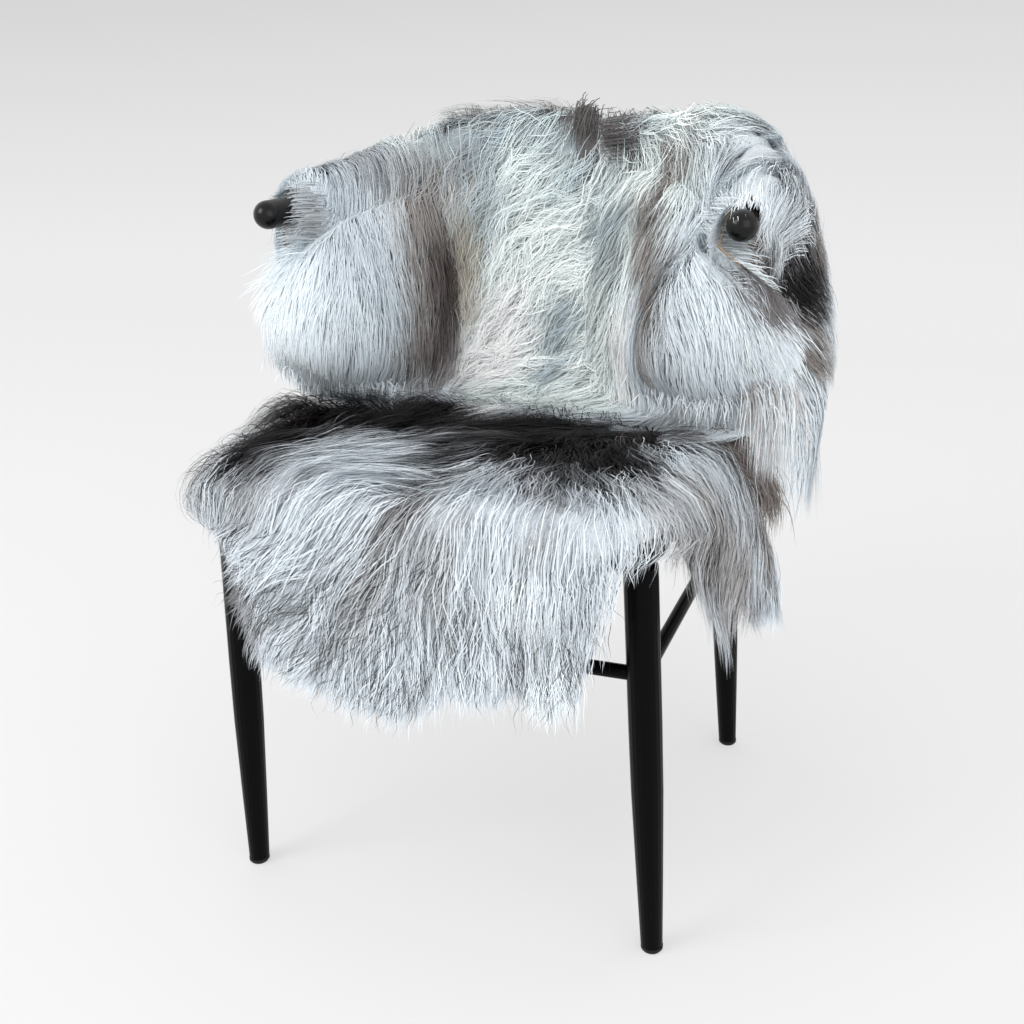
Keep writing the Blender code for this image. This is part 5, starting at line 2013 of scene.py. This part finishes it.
@dataclass(frozen=True)
class Paper:
    """Pale paper with a painted glow, so that shadows on it stay faint, and painted shade that makes it
    greyer high up.
    """

    low: float = 0.30
    high: float = 0.20
    glow_low: float = 0.52
    glow_high: float = 0.30
    from_height: float = 0.0
    to_height: float = 2.2

    def make(self) -> Material:
        """The material: two greys and two glows by height, as painted shade and a painted glow."""
        material = bpy.data.materials.new("pale_paper")
        material.use_nodes = True
        shader = material.node_tree.nodes["Principled BSDF"]
        nodes = Nodes(material.node_tree)
        place, parts = nodes.add("ShaderNodeTexCoord"), nodes.add("ShaderNodeSeparateXYZ")
        nodes.join(place.outputs["Object"], parts.inputs["Vector"])
        # Painted shade: both the grey and the glow fall with height, so the sweep is darker high up.
        ranges = {"Base Color": (self.low, self.high), "Emission Color": (self.glow_low, self.glow_high)}
        for socket, (low, high) in ranges.items():
            grey = nodes.add("ShaderNodeMapRange")
            for name, value in (("From Min", self.from_height), ("From Max", self.to_height),
                                ("To Min", low), ("To Max", high)):
                grey.inputs[name].default_value = value
            nodes.join(parts.outputs["Z"], grey.inputs["Value"])
            nodes.join(grey.outputs["Result"], shader.inputs[socket])
        shader.inputs["Emission Strength"].default_value = 1.0
        shader.inputs["Roughness"].default_value = 0.95
        shader.inputs["Specular IOR Level"].default_value = 0.1
        return material


@dataclass(frozen=True)
class Studio:
    """A pale sweep of paper under soft light from the upper left."""

    paper: Material
    near: float = -3.5
    bend_at: float = 2.6
    bend: float = 1.6
    height: float = 4.0
    half_width: float = 5.0
    flat_rows: int = 11
    bend_rows: int = 25
    columns: int = 9
    sky: float = 1.15
    aim: tuple[float, float, float] = (0.0, 0.0, 0.45)

    def build(self) -> None:
        """Lays the sweep and hangs the lights."""
        turn = np.radians(np.linspace(0.0, 90.0, self.bend_rows))
        flat = np.linspace(self.near, self.bend_at, self.flat_rows + 1)[:-1]
        y = np.concatenate([flat, self.bend_at + self.bend * np.sin(turn), [self.bend_at + self.bend]])
        z = np.concatenate([np.zeros_like(flat), self.bend * (1.0 - np.cos(turn)), [self.height]])
        x = np.linspace(-self.half_width, self.half_width, self.columns)
        points = np.stack(np.broadcast_arrays(x, y[:, None], z[:, None]), axis=-1)
        quads = grid_quads(np.arange(points.size // 3).reshape(points.shape[:2]))
        mesh = bpy.data.meshes.new("paper_sweep")
        mesh.from_pydata(points.reshape(-1, 3).tolist(), [], quads.tolist())
        mesh.shade_smooth()
        mesh.materials.append(self.paper)
        sweep = bpy.data.objects.new("paper_sweep", mesh)
        bpy.context.scene.collection.objects.link(sweep)
        self.lamp("key", (-1.7, -2.0, 2.2), 1.4, 38.0)
        self.lamp("fill", (2.2, -2.0, 1.6), 2.4, 22.0)
        world = bpy.data.worlds.new("soft_room")
        world.use_nodes = True
        sky = world.node_tree.nodes["Background"]
        sky.inputs["Color"].default_value = (1.0, 1.0, 1.0, 1.0)
        sky.inputs["Strength"].default_value = self.sky
        bpy.context.scene.world = world
        bpy.context.scene.view_settings.view_transform = "Standard"
        LOG.info("paper_sweep: laid, with two lamps")

    def lamp(self, name: str, place: tuple[float, float, float], size: float, power: float) -> None:
        """A square lamp turned towards the chair's seat."""
        light = bpy.data.lights.new(name, "AREA")
        light.size, light.energy = size, power
        lamp = bpy.data.objects.new(name, light)
        lamp.location = place
        lamp.rotation_euler = (Vector(self.aim) - Vector(place)).to_track_quat("-Z", "Y").to_euler()
        bpy.context.scene.collection.objects.link(lamp)


def main() -> None:
    """Builds the pieces in order and reports each one."""
    logging.basicConfig(level=logging.INFO, format="%(message)s")
    view = PictureView()
    view.hold()
    form = SkinForm()
    grain = grain_group()
    groomer = Groomer(view, form.lap_chart(), form.back_chart())
    Chair(form.bow, LACQUER.make(grain), BOW_LACQUER.make(grain), GLIDE.make(grain)).build()
    fleece = Fleece(form, groomer, WOOL.make(grain))
    fleece.build()
    Hide(form, fleece, LEATHER.make(grain), UNDERWOOL.make(grain)).build()
    Studio(Paper().make()).build()


if __name__ == "__main__":
    main()
